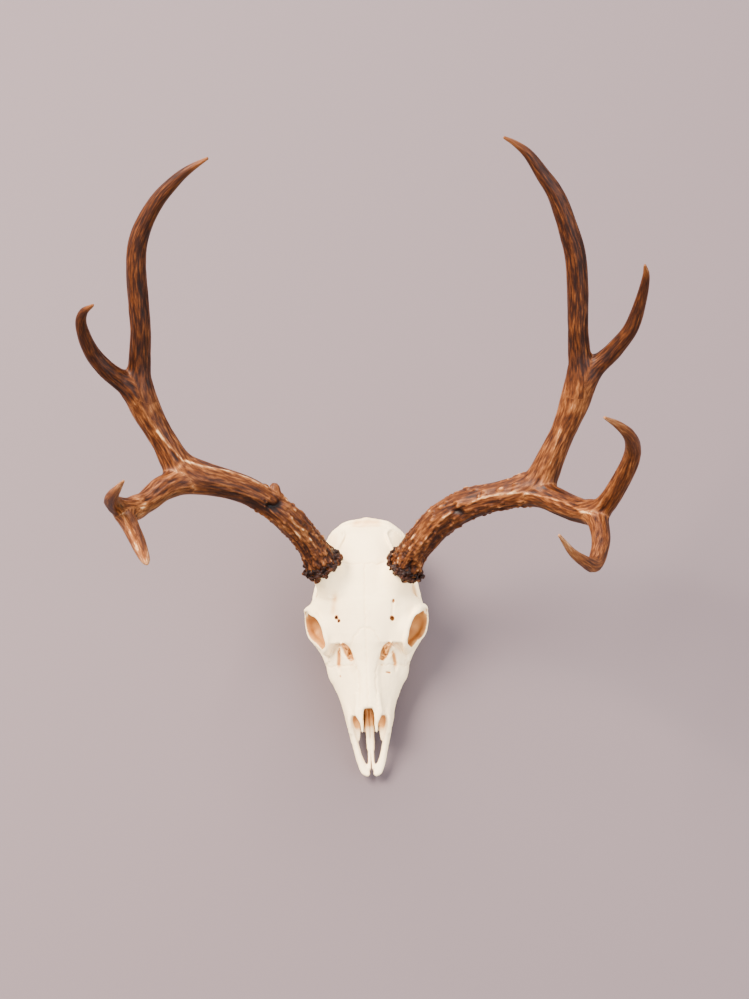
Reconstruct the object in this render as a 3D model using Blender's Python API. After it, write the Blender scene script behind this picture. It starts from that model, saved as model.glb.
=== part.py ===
"""Mule deer skull with its antlers, without the lower jaw, standing on its teeth.

It stands as it would on a table: on the cheek teeth in front and on the tips of the two
processes beside the neck joint behind. +Z is up, the nose points to -Y, and the deer's own
left side is +X. Points are written in millimetres as (x, s, z): x across from the midline,
s back from the tip of the nose, z up from the table.
"""

import math

import bmesh
import bpy
import numpy as np
from mathutils import Matrix, Vector

MM = 0.001

# Driving sizes. The nose tip and the skull's midline are placed so that the frame's origin is
# at the middle of the underside of the whole thing's box.
SKULL_LENGTH = 282.0
MIDLINE_BOW = 2.2
NOSE_Y = -219.6
MIDLINE_X = -8.8
TOOTH_CROWN = 10.0
GAP = 0.3

# How finely the shapes are fused and how many triangles are kept of them.
BONE_VOXEL = 1.7
ANTLER_VOXEL = 1.8
SKULL_FACES = 4100
ANTLER_FACES = 1850

# How the photograph looks at the skull. A point of an antler is read from it as
# (pixel across, pixel down, millimetres out towards the lens).
PIXEL_MM = 1.06
PHOTO_CENTRE = (374.5, 499.5)
LENS_DISTANCE = 2200.0
VIEW_ELEVATION = math.radians(65.0)
VIEW_TURN = Matrix.Rotation(math.radians(1.5), 3, "Y")
VIEW_ROLL = math.radians(0.9)
AIM = Vector((10.9, 262.5, 147.6))
VIEW_RIGHT = VIEW_TURN @ Vector((1.0, 0.0, 0.0))
VIEW_UP = VIEW_TURN @ Vector((0.0, math.sin(VIEW_ELEVATION), math.cos(VIEW_ELEVATION)))
VIEW_OUT = VIEW_TURN @ Vector((0.0, -math.cos(VIEW_ELEVATION), math.sin(VIEW_ELEVATION)))

# Pedicles, the posts of bone that carry the antlers, and burrs, the rough rings at their tops.
PEDICLE_RADIUS = 17.0
PEDICLE_DEPTH = 30.0
BURR_RADIUS = 20.0
BURR_LUMPS = 15
BURR_LUMP_SIZE = 4.6
PEARL_SIZE = 2.8
PEARL_SPACING = 5.0
SPIRAL_STEP = 2.4

# Antler stretches: pixel across, pixel down, out in mm, radius in mm.
LEFT_ANTLER = {
    "beam": [
        (404, 567, 0, 18), (412, 553, 12, 15.5), (421, 538, 24, 14.5), (440, 517, 42, 14.5),
        (465, 503, 62, 14.8), (493, 496, 80, 15), (518, 491, 94, 15.5), (541, 484, 104, 15),
        (553, 455, 117, 12.5), (566, 425, 132, 11.8), (576, 400, 143, 12.5), (582, 375, 154, 12),
    ],
    "back_tine": [
        (576, 400, 143, 12), (580, 375, 156, 12), (579, 350, 168, 10.6), (577.7, 324, 186, 10.1),
        (577.7, 286, 208, 10.1), (574.5, 252, 228, 10), (566, 222, 246, 9.2), (556, 195, 262, 8),
        (543, 175, 274, 6.7), (529, 155, 286, 4.8), (516, 144, 294, 3), (503.5, 137, 300, 2.4),
    ],
    "side_tine": [
        (574, 397, 143, 10), (585, 380, 154, 11), (598, 365, 163, 9.6), (613, 351, 176, 8.3),
        (631, 328, 198, 7.2), (641, 300, 222, 5.5), (646, 277, 244, 3.6), (645, 265, 258, 2.4),
    ],
    "front_tine": [
        (525, 490, 96, 13), (550, 497, 118, 12.5), (575, 508, 148, 11.5), (592, 512, 172, 11.2),
        (606, 504, 190, 10), (619, 484, 215, 9), (630, 462, 240, 8.2), (633, 447, 258, 7.4),
        (629, 435, 285, 5.8), (618, 425, 310, 3.8), (604.5, 417.5, 335, 2.4),
    ],
    "low_tine": [
        (590, 511, 168, 9), (598, 522, 188, 9.6), (601, 540, 212, 8.8), (598, 556, 234, 8),
        (593, 565, 254, 7), (584, 561, 280, 5.4), (572, 552, 306, 3.8), (559, 535, 334, 2.4),
    ],
}
RIGHT_ANTLER = {
    "beam": [
        (323, 565, 0, 18), (315, 551, 12, 15.5), (304, 536, 26, 14), (291, 521, 40, 14.8),
        (271, 503, 58, 15.4), (246, 489, 76, 15.2), (216, 481, 94, 15.2), (192, 476, 106, 16),
        (176, 466, 113, 14), (164, 442, 123, 12.5), (148.5, 414, 136, 12.8), (139, 392, 148, 12.5),
    ],
    "back_tine": [
        (146, 408, 139, 12), (140, 385, 152, 12), (139.5, 362, 162, 10.8), (140.5, 330, 184, 10),
        (138.5, 300, 202, 9.9), (136, 270, 220, 9.5), (137.5, 244, 235, 9.1), (145, 222, 248, 8.3),
        (157, 201, 262, 7.2), (173, 183, 276, 5.8), (188, 170, 287, 4), (208, 158, 298, 2.4),
    ],
    "side_tine": [
        (143, 403, 141, 10), (131, 388, 155, 11), (119, 379, 163, 9.8), (105, 368, 178, 8.8),
        (91, 351, 196, 7.4), (81.5, 327, 222, 5.8), (83, 313, 240, 4.2), (93, 305, 262, 2.4),
    ],
    "front_tine": [
        (196, 478, 104, 13), (165, 487, 128, 12.5), (146, 502, 152, 11), (131, 509, 172, 10.4),
        (118, 506, 196, 9), (112, 501, 222, 7.6), (112.5, 496, 248, 5.8), (117, 489.5, 274, 3.8),
        (123.5, 481, 304, 2.4),
    ],
    "low_tine": [
        (136, 507, 166, 9), (126, 515, 186, 9), (130.5, 526, 208, 8.2), (137, 540, 234, 7.4),
        (142, 552, 258, 6), (145.5, 560, 280, 4.2), (147, 564, 298, 2.4),
    ],
}
# Where each tine is parted from what it grows from, as a share of its stretch's length, and
# how far past its own radius the cut reaches.
FORK_CUTS = {"side_tine": 0.25, "front_tine": 0.2, "low_tine": 0.3, "back_tine": 0.2}
SAW_REACH = 1.9
BURR_CUT = 36.0

# Skull lofts: s, lowest z, highest z, half-widths low, halfway and high, droop of the sides.
MUZZLE = [
    (50, 18, 52, 17, 22, 11, 0), (63, 15, 61, 20, 25.2, 13, 1), (80, 12.5, 66.5, 25, 30.5, 16, 2),
    (91, 12, 70, 28, 34.5, 17, 2), (103, 11.5, 74.5, 32, 38.5, 18, 2), (115, 11, 80, 38, 43.5, 20, 2),
    (126, 11, 85, 38, 42, 26, 2), (140, 12, 91, 30, 34, 32, 2), (160, 18, 97, 22, 27, 30, 2),
    (190, 34, 104, 22, 26, 30, 2),
]
FRONTAL = [
    (121, 72, 83, 30, 30, 30, 6), (127, 73, 87, 41, 41, 41, 8), (136, 76, 92, 45, 46, 45, 9),
    (150, 80, 99, 50, 51, 50, 11), (163, 85, 105, 58, 60, 58, 18), (171, 87, 108, 55, 57, 54, 18),
    (180, 88, 111, 49, 50, 48, 13), (195, 88, 114, 45, 45, 43, 10), (210, 86, 114, 38, 38, 36, 8),
    (226, 80, 110, 30, 30, 28, 6),
]
BRAINCASE = [
    (178, 50, 108, 24, 28, 27, 0), (195, 44, 112, 30, 34, 30, 0), (210, 40, 113, 34, 38, 30, 0),
    (228, 37, 110.5, 38, 41, 29, 0), (243, 35, 104.5, 40, 43, 26, 0), (254, 34, 96, 40, 42.5, 24, 0),
    (262, 35, 88, 35, 37, 21, 0), (268, 37, 79, 26, 27, 14, 0),
]
PALATE = [
    (50, 13, 19, 16, 16, 16, 0), (66, 12.5, 20, 19, 19, 19, 0), (100, 13, 21, 22, 22, 22, 0),
    (140, 15, 23, 24, 24, 24, 0), (154, 18, 25, 20, 20, 20, 0),
]
BASE = [
    (170, 46, 62, 11, 14, 16, 0), (195, 42, 62, 13, 17, 20, 0), (225, 37, 60, 17, 21, 24, 0),
    (255, 33, 58, 20, 22, 24, 0), (270, 31, 52, 17, 18, 18, 0),
]
# Hollows cut from those lofts, in the same form.
NASAL_CAVITY = [
    (40, 21, 58, 11, 13, 9, 0), (60, 20, 55.5, 16, 18, 10, 0), (80, 20, 61, 20, 23, 11, 0),
    (100, 22, 68, 24, 27, 12, 0), (122, 26, 76, 26, 28, 14, 0), (146, 36, 82, 15, 15, 14, 0),
]
NASAL_MOUTH = [
    (38, 40, 80, 17, 17, 17, 0), (50, 44, 80, 16, 16, 16, 0), (61, 50, 80, 12, 13, 14, 0),
]
BRAIN_CAVITY = [
    (190, 64, 98, 12, 14, 14, 0), (204, 52, 105, 24, 27, 22, 0), (228, 48, 103, 31, 33, 23, 0),
    (246, 45, 95, 31, 33, 20, 0), (258, 42, 82, 22, 24, 13, 0), (266, 42, 68, 13, 13, 10, 0),
]
FORAMEN_MAGNUM = [
    (254, 44, 68, 11, 12, 11, 0), (272, 43, 66, 12, 13, 11, 0), (296, 41, 64, 13, 14, 12, 0),
]
CHOANA = [
    (150, 25, 40, 8, 9, 9, 0), (165, 22, 42, 11, 11, 10, 0), (196, 8, 41, 13, 12, 10, 0),
]

# Skull bars: x, s, z, sideways radius, upward radius. Both sides have one.
PREMAXILLA = [
    (4.4, 2.5, 13, 2.8, 2.8), (6.5, 6, 13.5, 4.7, 3.4), (8.8, 11, 14.5, 4.6, 3.8),
    (12.9, 21, 17, 3.5, 4.6), (15.6, 32, 20.5, 4, 6), (17.8, 43, 25, 4.8, 9),
    (19.3, 54, 31, 5, 12.5), (20.6, 68, 37, 5.4, 16),
]
TOOTH_BED = [
    (21, 82, 17.5, 6.5, 10), (25.5, 96, 18.5, 8, 12.5), (29, 118, 18.5, 9.5, 13.5),
    (31, 142, 18.5, 9.5, 14), (29.5, 162, 19, 9, 15), (26, 173, 29, 6, 11),
]
ORBIT_RIM = [
    (44, 131, 84), (47, 142, 88), (53, 153, 89.5), (60.5, 164, 85), (63.5, 168, 76),
    (63.5, 168, 64), (63.5, 160, 53), (61, 148, 47), (51.5, 136, 47.5), (46, 127, 54),
    (43.5, 123, 65), (42.5, 125, 77),
]
RIM_RADIUS = 2.9
CHEEK_ARCH = [
    (41, 120, 42, 5, 9), (47, 131, 44, 4, 7), (55, 143, 45, 3.6, 6), (62, 156, 47, 3.5, 6),
    (62, 168, 50, 3.5, 6.5), (57.5, 182, 52, 3.2, 5), (54.5, 196, 53, 3.2, 4.8),
    (50.5, 207, 52.5, 4.2, 5), (40, 215, 52, 6, 5.5),
]
NECK_PROCESS = [
    (36, 250, 50, 7, 9), (33.5, 257, 36, 5, 7), (31, 262, 20, 3.6, 6.2), (29, 265, 8, 3, 5.2),
    (28.5, 266, -2, 2.8, 4.8),
]
NECK_CREST = [
    (42, 251, 44, 4.5, 4.5), (41, 256, 54, 3.4, 3.4), (32, 262, 66, 3, 3),
    (20.5, 266, 81, 3.2, 3.2), (9, 267, 83.5, 3.2, 3.2), (-1, 268, 84, 3.6, 3.2),
]
PTERYGOID = [
    (15, 152, 27, 3, 8), (13.5, 168, 30, 2.4, 11), (13, 184, 34, 2.2, 13), (14, 196, 41, 2.4, 9),
]
NASAL_PRONG = [
    (8.6, 70, 61, 6, 2.4), (8.6, 60, 56.5, 4.2, 2.2), (8.2, 49, 51.5, 2.8, 2), (7.8, 38, 46, 1.5, 1.5),
]
PALATE_ROD = [(0, 10, 15, 3.4, 2.4), (0, 30, 15.5, 3.3, 2.6), (0, 52, 16.5, 3.8, 3), (0, 66, 17, 4, 3)]
SEPTUM = [(0, 52, 22, 1.9, 7), (0, 80, 26, 1.9, 10), (0, 130, 34, 1.9, 12)]

# Skull lumps and hollows: centre, then radii across, along and up.
LUMPS = [
    ((34, 122, 62), (12, 11, 17)),  # tear bone, in front of the eye socket
    ((36, 116, 36), (9, 16, 14)),  # cheek swelling over the teeth
    ((42, 150, 66), (19, 24, 23)),  # walls of the eye socket
    ((55, 168, 68), (8, 3.5, 16)),  # bar behind the eye
    ((25, 228, 36), (9, 14, 12)),  # ear capsule
    ((38, 243, 52), (8, 13, 14)),  # bone behind the ear
    ((39, 212, 50), (15, 10, 6.5)),  # jaw joint
    ((41, 234, 52), (7, 5.5, 5.5)),  # ear tube
    ((14, 274, 38), (8.5, 10, 14)),  # neck joint
    ((32, 192, 92), (15, 17, 16)),  # root of the pedicle
]
EYE_SOCKET = [
    (76, 135, 74, 25, 25), (61, 142, 70, 21.5, 21.5), (50, 146.5, 68, 19.5, 19.5),
    (38, 151, 67, 16.5, 16.5), (28, 155, 66, 11, 11), (21, 158, 65, 4, 4),
]
HOLLOWS = [
    ((27, 117, 73), (9, 8, 9)),  # gap in front of the forehead bone
    ((19, 110, 76), (4.5, 8, 8)),  # and its narrow end beside the nose bones
    ((47, 120, 66), (6, 7, 8)),  # tear pit
    ((31, 145, 105), (2.6, 3.2, 9)),  # hole above the eye socket
]

# Blocks cut away, by two corners: under the table, and where the teeth of one side stand.
UNDER_TABLE = [(-60, -20, -40), (60, 300, 0)]
UNDER_TOOTH_BED = [(12, 78, -1), (46, 182, TOOTH_CROWN + GAP)]

# Cheek teeth from front to back: how far out, length and width.
TEETH = {
    "premolar_1": (22.5, 10.5, 9.5), "premolar_2": (24.5, 11, 12), "premolar_3": (26.5, 11, 13.5),
    "molar_1": (28.5, 14, 15), "molar_2": (30, 15.5, 16), "molar_3": (30.5, 15.5, 15),
}
FIRST_TOOTH_S = 86.0
TOOTH_SPACE = 0.5


def clear_scene():
    for obj in list(bpy.data.objects):
        bpy.data.objects.remove(obj)


def material(name, colour, roughness):
    made = bpy.data.materials.new(name)
    made.use_nodes = True
    shader = made.node_tree.nodes["Principled BSDF"]
    shader.inputs["Base Color"].default_value = (*colour, 1.0)
    shader.inputs["Roughness"].default_value = roughness
    shader.inputs["Metallic"].default_value = 0.0
    return made


def placed(point):
    """A point in millimetres from the nose, as metres in the part's own frame."""
    return Vector((point[0] + MIDLINE_X, point[1] + NOSE_Y, point[2])) * MM


def seen(across_px, down_px, out):
    """A point read from the photograph, in millimetres from the nose."""
    right = across_px - PHOTO_CENTRE[0]
    up = PHOTO_CENTRE[1] - down_px
    scale = PIXEL_MM * (1.0 - out / LENS_DISTANCE)
    across = (right * math.cos(VIEW_ROLL) + up * math.sin(VIEW_ROLL)) * scale
    along = (up * math.cos(VIEW_ROLL) - right * math.sin(VIEW_ROLL)) * scale
    return AIM + VIEW_RIGHT * across + VIEW_UP * along + VIEW_OUT * out


def smooth_rows(rows, step, closed=False):
    """Rows read from one smooth curve through the given rows, about a step apart."""
    rows = np.array(rows, float)
    ends = (rows[-1:], rows[:2]) if closed else (2 * rows[:1] - rows[1:2], 2 * rows[-1:] - rows[-2:-1])
    padded = np.concatenate([ends[0], rows, ends[1]])
    found = []
    for a, b, c, d in zip(padded, padded[1:], padded[2:], padded[3:]):
        count = max(1, round(np.linalg.norm((c - b)[:3]) / step))
        for t in np.arange(count)[:, None] / count:
            square = (2 * a - 5 * b + 4 * c - d) * t**2
            cube = (3 * b - a - 3 * c + d) * t**3
            found.append(0.5 * (2 * b + (c - a) * t + square + cube))
    return np.vstack(found if closed else [*found, rows[-1:]])


def skin_rings(bm, rings, closed=False):
    """Faces between rings of points, and a fan over each end unless the rings close on themselves."""
    loops = [[bm.verts.new(placed(p)) for p in ring] for ring in rings]
    pairs = list(zip(loops, loops[1:] + loops[:1] if closed else loops[1:]))
    for first, second in pairs:
        for i in range(len(first)):
            j = (i + 1) % len(first)
            bm.faces.new((first[i], first[j], second[j], second[i]))
    if not closed:
        for loop in (loops[0], loops[-1]):
            bm.faces.new(loop)


def add_tube(bm, knots, sides=12, step=4.0, closed=False):
    """A bar along knots of x, s, z, sideways radius, upward radius."""
    rows = smooth_rows(knots, step, closed)
    middle, radii = rows[:, :3], rows[:, 3:5]
    if closed:
        tangents = np.roll(middle, -1, axis=0) - np.roll(middle, 1, axis=0)
    else:
        tangents = np.gradient(middle, axis=0)
    rings = []
    side = None
    for centre, tangent, (wide, tall) in zip(middle, tangents, radii):
        along = Vector(tangent).normalized()
        if side is None:
            side = along.cross(Vector((0, 0, 1)))
            if side.length < 0.2:
                side = along.cross(Vector((0, 1, 0)))
        side = (side - along * side.dot(along)).normalized()
        rise = side.cross(along)
        angles = [2 * math.pi * i / sides for i in range(sides)]
        rings.append([Vector(centre) + side * wide * math.cos(a) + rise * tall * math.sin(a) for a in angles])
    skin_rings(bm, rings, closed)


def add_loft(bm, stations, power=2.8, sides=28, step=5.0):
    """A body along the midline, through cross-sections with flattened sides."""
    rings = []
    for s, low, high, wide_low, wide_mid, wide_high, droop in smooth_rows(stations, step):
        middle, half = (low + high) / 2, (high - low) / 2
        lean, belly = (wide_high - wide_low) / 2, (wide_high + wide_low) / 2 - wide_mid
        ring = []
        for i in range(sides):
            turn = 2 * math.pi * i / sides
            cosine, sine = math.cos(turn), math.sin(turn)
            lift = math.copysign(abs(sine) ** (2 / power), sine)
            wide = wide_mid + lean * lift + belly * lift**2
            share = math.copysign(abs(cosine) ** (2 / power), cosine)
            ring.append((wide * share - bow(s), s, middle + half * lift - droop * share**2))
        rings.append(ring)
    skin_rings(bm, rings)


def add_ball(bm, centre, radii):
    made = bmesh.ops.create_uvsphere(bm, u_segments=16, v_segments=10, radius=1.0)
    size = Matrix.Diagonal((*[r * MM for r in radii], 1.0))
    bmesh.ops.transform(bm, matrix=Matrix.Translation(placed(centre)) @ size, verts=made["verts"])


def bow(s):
    """How far the skull's midline bends to the deer's right, because it didn't grow quite straight."""
    return MIDLINE_BOW * math.sin(math.pi * min(max(s / SKULL_LENGTH, 0.0), 1.0))


def mirrored(knots, side):
    """The knots of one side of the skull, about its own bent midline."""
    return [(row[0] * side - bow(row[1]), *row[1:]) for row in knots]


def new_object(name, bm):
    bmesh.ops.recalc_face_normals(bm, faces=bm.faces)
    mesh = bpy.data.meshes.new(name)
    bm.to_mesh(mesh)
    bm.free()
    obj = bpy.data.objects.new(name, mesh)
    bpy.context.scene.collection.objects.link(obj)
    return obj


def fuse(obj, voxel, rounds):
    """Makes one skin of the overlapping shapes in an object, then softens its creases."""
    skin = obj.modifiers.new("fuse", "REMESH")
    skin.mode = "VOXEL"
    skin.voxel_size = voxel * MM
    soften = obj.modifiers.new("soften", "SMOOTH")
    soften.factor = 0.5
    soften.iterations = rounds


def cut(obj, cutter):
    cutter.hide_render = True
    cutter.display_type = "WIRE"
    difference = obj.modifiers.new("cut", "BOOLEAN")
    difference.operation = "DIFFERENCE"
    difference.object = cutter


def thin_out(obj, faces):
    """Brings an object down to about this many triangles."""
    graph = bpy.context.evaluated_depsgraph_get()
    count = sum(len(p.vertices) - 2 for p in obj.evaluated_get(graph).data.polygons)
    decimate = obj.modifiers.new("thin out", "DECIMATE")
    decimate.ratio = min(1.0, faces / count)


def settled(obj):
    """Applies an object's modifiers and removes what was only a helper to them."""
    graph = bpy.context.evaluated_depsgraph_get()
    mesh = bpy.data.meshes.new_from_object(obj.evaluated_get(graph))
    helpers = [m.object for m in obj.modifiers if m.type == "BOOLEAN"]
    obj.modifiers.clear()
    obj.data = mesh
    for helper in helpers:
        bpy.data.objects.remove(helper)
    return obj


def burr_of(antler):
    """The middle of the burr and the direction in which the antler leaves it."""
    first, second = (seen(*row[:3]) for row in antler["beam"][:2])
    return first, (second - first).normalized()


def axis_frame(direction):
    """Two directions at right angles to this one and to each other."""
    side = direction.cross(Vector((0, 1, 0))).normalized()
    return side, direction.cross(side)


def make_skull():
    bm = bmesh.new()
    for stations in (MUZZLE, FRONTAL, BRAINCASE, PALATE, BASE):
        add_loft(bm, stations)
    for side in (1, -1):
        for bar in (PREMAXILLA, TOOTH_BED, NECK_PROCESS, NECK_CREST):
            add_tube(bm, mirrored(bar, side))
        for centre, radii in LUMPS:
            add_ball(bm, *mirrored([centre], side), radii)
    for antler in (LEFT_ANTLER, RIGHT_ANTLER):
        top, direction = burr_of(antler)
        foot = (*(top - direction * PEDICLE_DEPTH), PEDICLE_RADIUS + 1, PEDICLE_RADIUS + 1)
        head = (*(top + direction * 4), PEDICLE_RADIUS - 1, PEDICLE_RADIUS - 1)
        add_tube(bm, [foot, head], sides=20)
    skull = new_object("skull", bm)
    fuse(skull, BONE_VOXEL, 6)
    cut(skull, skull_hollows())
    settled(skull)

    bm = bmesh.new()
    bm.from_mesh(skull.data)
    for side in (1, -1):
        rim = [(*point, RIM_RADIUS, RIM_RADIUS) for point in ORBIT_RIM]
        add_tube(bm, mirrored(rim, side), closed=True)
        for bar in (CHEEK_ARCH, PTERYGOID, NASAL_PRONG):
            add_tube(bm, mirrored(bar, side))
    for bar in (PALATE_ROD, SEPTUM):
        add_tube(bm, mirrored(bar, 1))
    bmesh.ops.recalc_face_normals(bm, faces=bm.faces)
    bm.to_mesh(skull.data)
    bm.free()
    fuse(skull, BONE_VOXEL, 2)
    thin_out(skull, SKULL_FACES)
    cut(skull, skull_trims())
    return settled(skull)


def skull_hollows():
    bm = bmesh.new()
    for stations in (NASAL_CAVITY, NASAL_MOUTH, BRAIN_CAVITY, FORAMEN_MAGNUM, CHOANA):
        add_loft(bm, stations)
    for side in (1, -1):
        add_tube(bm, mirrored(EYE_SOCKET, side), sides=24)
        for centre, radii in HOLLOWS:
            add_ball(bm, *mirrored([centre], side), radii)
    hollows = new_object("hollows", bm)
    fuse(hollows, BONE_VOXEL, 2)
    return settled(hollows)


def skull_trims():
    """Flat cuts: the table under the processes, the tooth beds, and the tops of the pedicles."""
    bm = bmesh.new()
    add_block(bm, UNDER_TABLE)
    for side in (1, -1):
        add_block(bm, mirrored(UNDER_TOOTH_BED, side))
    for antler in (LEFT_ANTLER, RIGHT_ANTLER):
        top, direction = burr_of(antler)
        add_disc(bm, top + direction * (BURR_CUT / 2 - GAP), direction, BURR_CUT, BURR_CUT)
    return new_object("trims", bm)


def add_block(bm, corners):
    """A box between two opposite corners."""
    first, second = (placed(corner) for corner in corners)
    made = bmesh.ops.create_cube(bm, size=1.0)
    size = Matrix.Diagonal((*[abs(d) for d in second - first], 1.0))
    bmesh.ops.transform(bm, matrix=Matrix.Translation((first + second) / 2) @ size, verts=made["verts"])


def add_disc(bm, centre, along, radius, thickness):
    turn = along.to_track_quat("Z", "Y").to_matrix().to_4x4()
    bmesh.ops.create_cone(
        bm, cap_ends=True, segments=20, radius1=radius * MM, radius2=radius * MM,
        depth=thickness * MM, matrix=Matrix.Translation(placed(centre)) @ turn,
    )


def antler_rows(stretch):
    """A stretch's knots as x, s, z and two equal radii."""
    return [(*seen(*row[:3]), row[3], row[3]) for row in stretch]


def antler_skin(name, antler):
    """The whole antler as one skin, with its burr."""
    bm = bmesh.new()
    for stretch in antler.values():
        add_tube(bm, antler_rows(stretch), sides=14)
    top, direction = burr_of(antler)
    side, rise = axis_frame(direction)
    for i in range(BURR_LUMPS):
        turn = 2 * math.pi * i / BURR_LUMPS
        size = BURR_LUMP_SIZE + math.sin(i * SPIRAL_STEP)
        outward = side * math.cos(turn) + rise * math.sin(turn)
        lump = top + direction * (3 + 1.5 * math.cos(i * SPIRAL_STEP)) + outward * BURR_RADIUS
        add_ball(bm, lump, (size, size, size))
    base = (*(top - direction * 3), PEDICLE_RADIUS + 1, PEDICLE_RADIUS + 1)
    collar = (*(top + direction * 6), BURR_RADIUS, BURR_RADIUS)
    add_tube(bm, [base, collar], sides=24)
    add_pearls(bm, antler)
    skin = new_object(name, bm)
    fuse(skin, ANTLER_VOXEL, 4)
    thin_out(skin, ANTLER_FACES)
    return settled(skin)


def add_pearls(bm, antler):
    """Rough grains on the lower beam, thinning out away from the burr."""
    rows = smooth_rows(antler_rows(antler["beam"][:6]), PEARL_SPACING)
    for i, (centre, ahead) in enumerate(zip(rows[1:-1], rows[2:])):
        side, rise = axis_frame(Vector(ahead[:3] - centre[:3]).normalized())
        turn = i * SPIRAL_STEP
        pearl = Vector(centre[:3]) + (side * math.cos(turn) + rise * math.sin(turn)) * centre[3]
        add_ball(bm, pearl, (PEARL_SIZE, PEARL_SIZE, PEARL_SIZE))


def saw_cuts(antler):
    """Thin discs where each tine is parted from what it grows from, and a block under the burr."""
    bm = bmesh.new()
    top, direction = burr_of(antler)
    add_disc(bm, top - direction * BURR_CUT / 2, direction, BURR_CUT, BURR_CUT)
    for stretch, share in FORK_CUTS.items():
        rows = smooth_rows(antler_rows(antler[stretch]), 2.0)
        at = round(share * (len(rows) - 1))
        along = Vector(rows[at + 1][:3] - rows[at - 1][:3]).normalized()
        add_disc(bm, Vector(rows[at][:3]), along, SAW_REACH * rows[at][3], GAP)
    return new_object("saw cuts", bm)


def islands(bm):
    """The mesh's separate pieces, as sets of vertices."""
    left, found = set(bm.verts), []
    while left:
        piece, edge = set(), {left.pop()}
        while edge:
            piece |= edge
            edge = {e.other_vert(v) for v in edge for e in v.link_edges} - piece
        left -= piece
        found.append(piece)
    return found


def make_antler(side_name, antler, finish):
    """One object for each length between forks, cut square to its own axis."""
    skin = antler_skin(side_name + "_antler", antler)
    cut(skin, saw_cuts(antler))
    bm = bmesh.new()
    bm.from_mesh(settled(skin).data)
    bpy.data.objects.remove(skin)
    middles = {"beam": placed(seen(*antler["beam"][4][:3]))}
    for stretch in FORK_CUTS:
        middles[stretch] = placed(seen(*antler[stretch][-3][:3]))
    for piece in islands(bm):
        name = min(middles, key=lambda n: min((v.co - middles[n]).length for v in piece))
        part = bmesh.new()
        copies = {v: part.verts.new(v.co) for v in piece}
        for face in {f for v in piece for f in v.link_faces}:
            part.faces.new([copies[v] for v in face.verts])
        made = new_object(f"{side_name}_antler_{name}", part)
        made.data.materials.append(finish)
        made.data.shade_smooth()
    bm.free()


def tooth_outline(length, width, outer):
    """Two lobes towards the tongue and three upright ribs towards the cheek."""
    lobes = 2 if length > 13 else 1
    count = 14
    points = []
    for i in range(count):
        turn = 2 * math.pi * i / count
        wave = 0.06 * math.cos(turn * 2 * lobes + math.pi * (lobes - 1))
        along = math.copysign(abs(math.cos(turn)) ** 0.7, math.cos(turn))
        across = math.copysign(abs(math.sin(turn)) ** 0.8, math.sin(turn))
        points.append((across * width / 2 * (1 + wave) * outer, along * length / 2 * (1 + 0.4 * wave)))
    return points


def make_teeth(finish):
    for side_name, side in (("left", 1), ("right", -1)):
        front = FIRST_TOOTH_S
        for name, (out, length, width) in TEETH.items():
            outline = tooth_outline(length - TOOTH_SPACE, width, side)
            middle = front + length / 2
            levels = ((0.0, 0.86), (0.3 * TOOTH_CROWN, 1.0), (TOOTH_CROWN, 0.9))
            bm = bmesh.new()
            centre = side * out - bow(middle)
            rings = [[(centre + x * k, middle + y * k, z) for x, y in outline] for z, k in levels]
            skin_rings(bm, rings)
            tooth = new_object(f"{side_name}_{name}", bm)
            tooth.data.materials.append(finish)
            front += length


def main():
    clear_scene()
    bone = material("bleached bone", (0.87, 0.82, 0.73), 0.6)
    antler = material("antler", (0.20, 0.09, 0.04), 0.55)
    enamel = material("tooth enamel", (0.72, 0.64, 0.50), 0.35)
    skull = make_skull()
    skull.data.materials.clear()
    skull.data.materials.append(bone)
    make_antler("left", LEFT_ANTLER, antler)
    make_antler("right", RIGHT_ANTLER, antler)
    make_teeth(enamel)


main()
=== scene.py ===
# %% [markdown]
# # A mule deer skull with its antlers
# This lesson dresses the plain solids of a deer skull as the real thing: bleached bone, brown
# grooved antlers and worn cheek teeth. The plain solids are loaded first and stay where they
# are. They are the skeleton of the scene, and each finer piece takes the place of one of them.

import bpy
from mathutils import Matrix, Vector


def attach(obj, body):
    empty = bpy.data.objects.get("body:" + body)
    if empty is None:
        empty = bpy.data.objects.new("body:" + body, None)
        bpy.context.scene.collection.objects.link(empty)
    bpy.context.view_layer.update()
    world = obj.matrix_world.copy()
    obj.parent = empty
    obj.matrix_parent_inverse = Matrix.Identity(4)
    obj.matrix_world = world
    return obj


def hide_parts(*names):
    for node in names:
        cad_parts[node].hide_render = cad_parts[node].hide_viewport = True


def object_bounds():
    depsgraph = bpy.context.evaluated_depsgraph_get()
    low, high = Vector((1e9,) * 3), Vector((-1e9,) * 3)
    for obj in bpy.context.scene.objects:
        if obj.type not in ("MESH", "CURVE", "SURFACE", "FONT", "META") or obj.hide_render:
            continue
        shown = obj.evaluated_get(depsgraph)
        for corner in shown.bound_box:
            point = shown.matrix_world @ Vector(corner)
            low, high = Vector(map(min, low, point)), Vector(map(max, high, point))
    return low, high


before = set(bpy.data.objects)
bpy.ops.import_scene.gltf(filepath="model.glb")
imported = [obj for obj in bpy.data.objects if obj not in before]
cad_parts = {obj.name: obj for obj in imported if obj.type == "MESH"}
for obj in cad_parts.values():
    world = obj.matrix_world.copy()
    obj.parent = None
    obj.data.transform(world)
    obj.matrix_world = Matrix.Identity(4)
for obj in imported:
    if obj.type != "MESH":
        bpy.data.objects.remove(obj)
cad_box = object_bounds()
print("solids:", len(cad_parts), "whole box:", cad_box)

# %% [markdown]
# ## Measures and the camera
# A skull is measured from the tip of its nose. Here every bone point is (x, s, z) in
# millimetres: x across from the midline, s back from the nose, z up from the table. The antlers
# are read from the photograph instead, as pixel across, pixel down and millimetres out towards
# the lens. One camera in the right place turns both into the same space, so it comes first.

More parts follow.
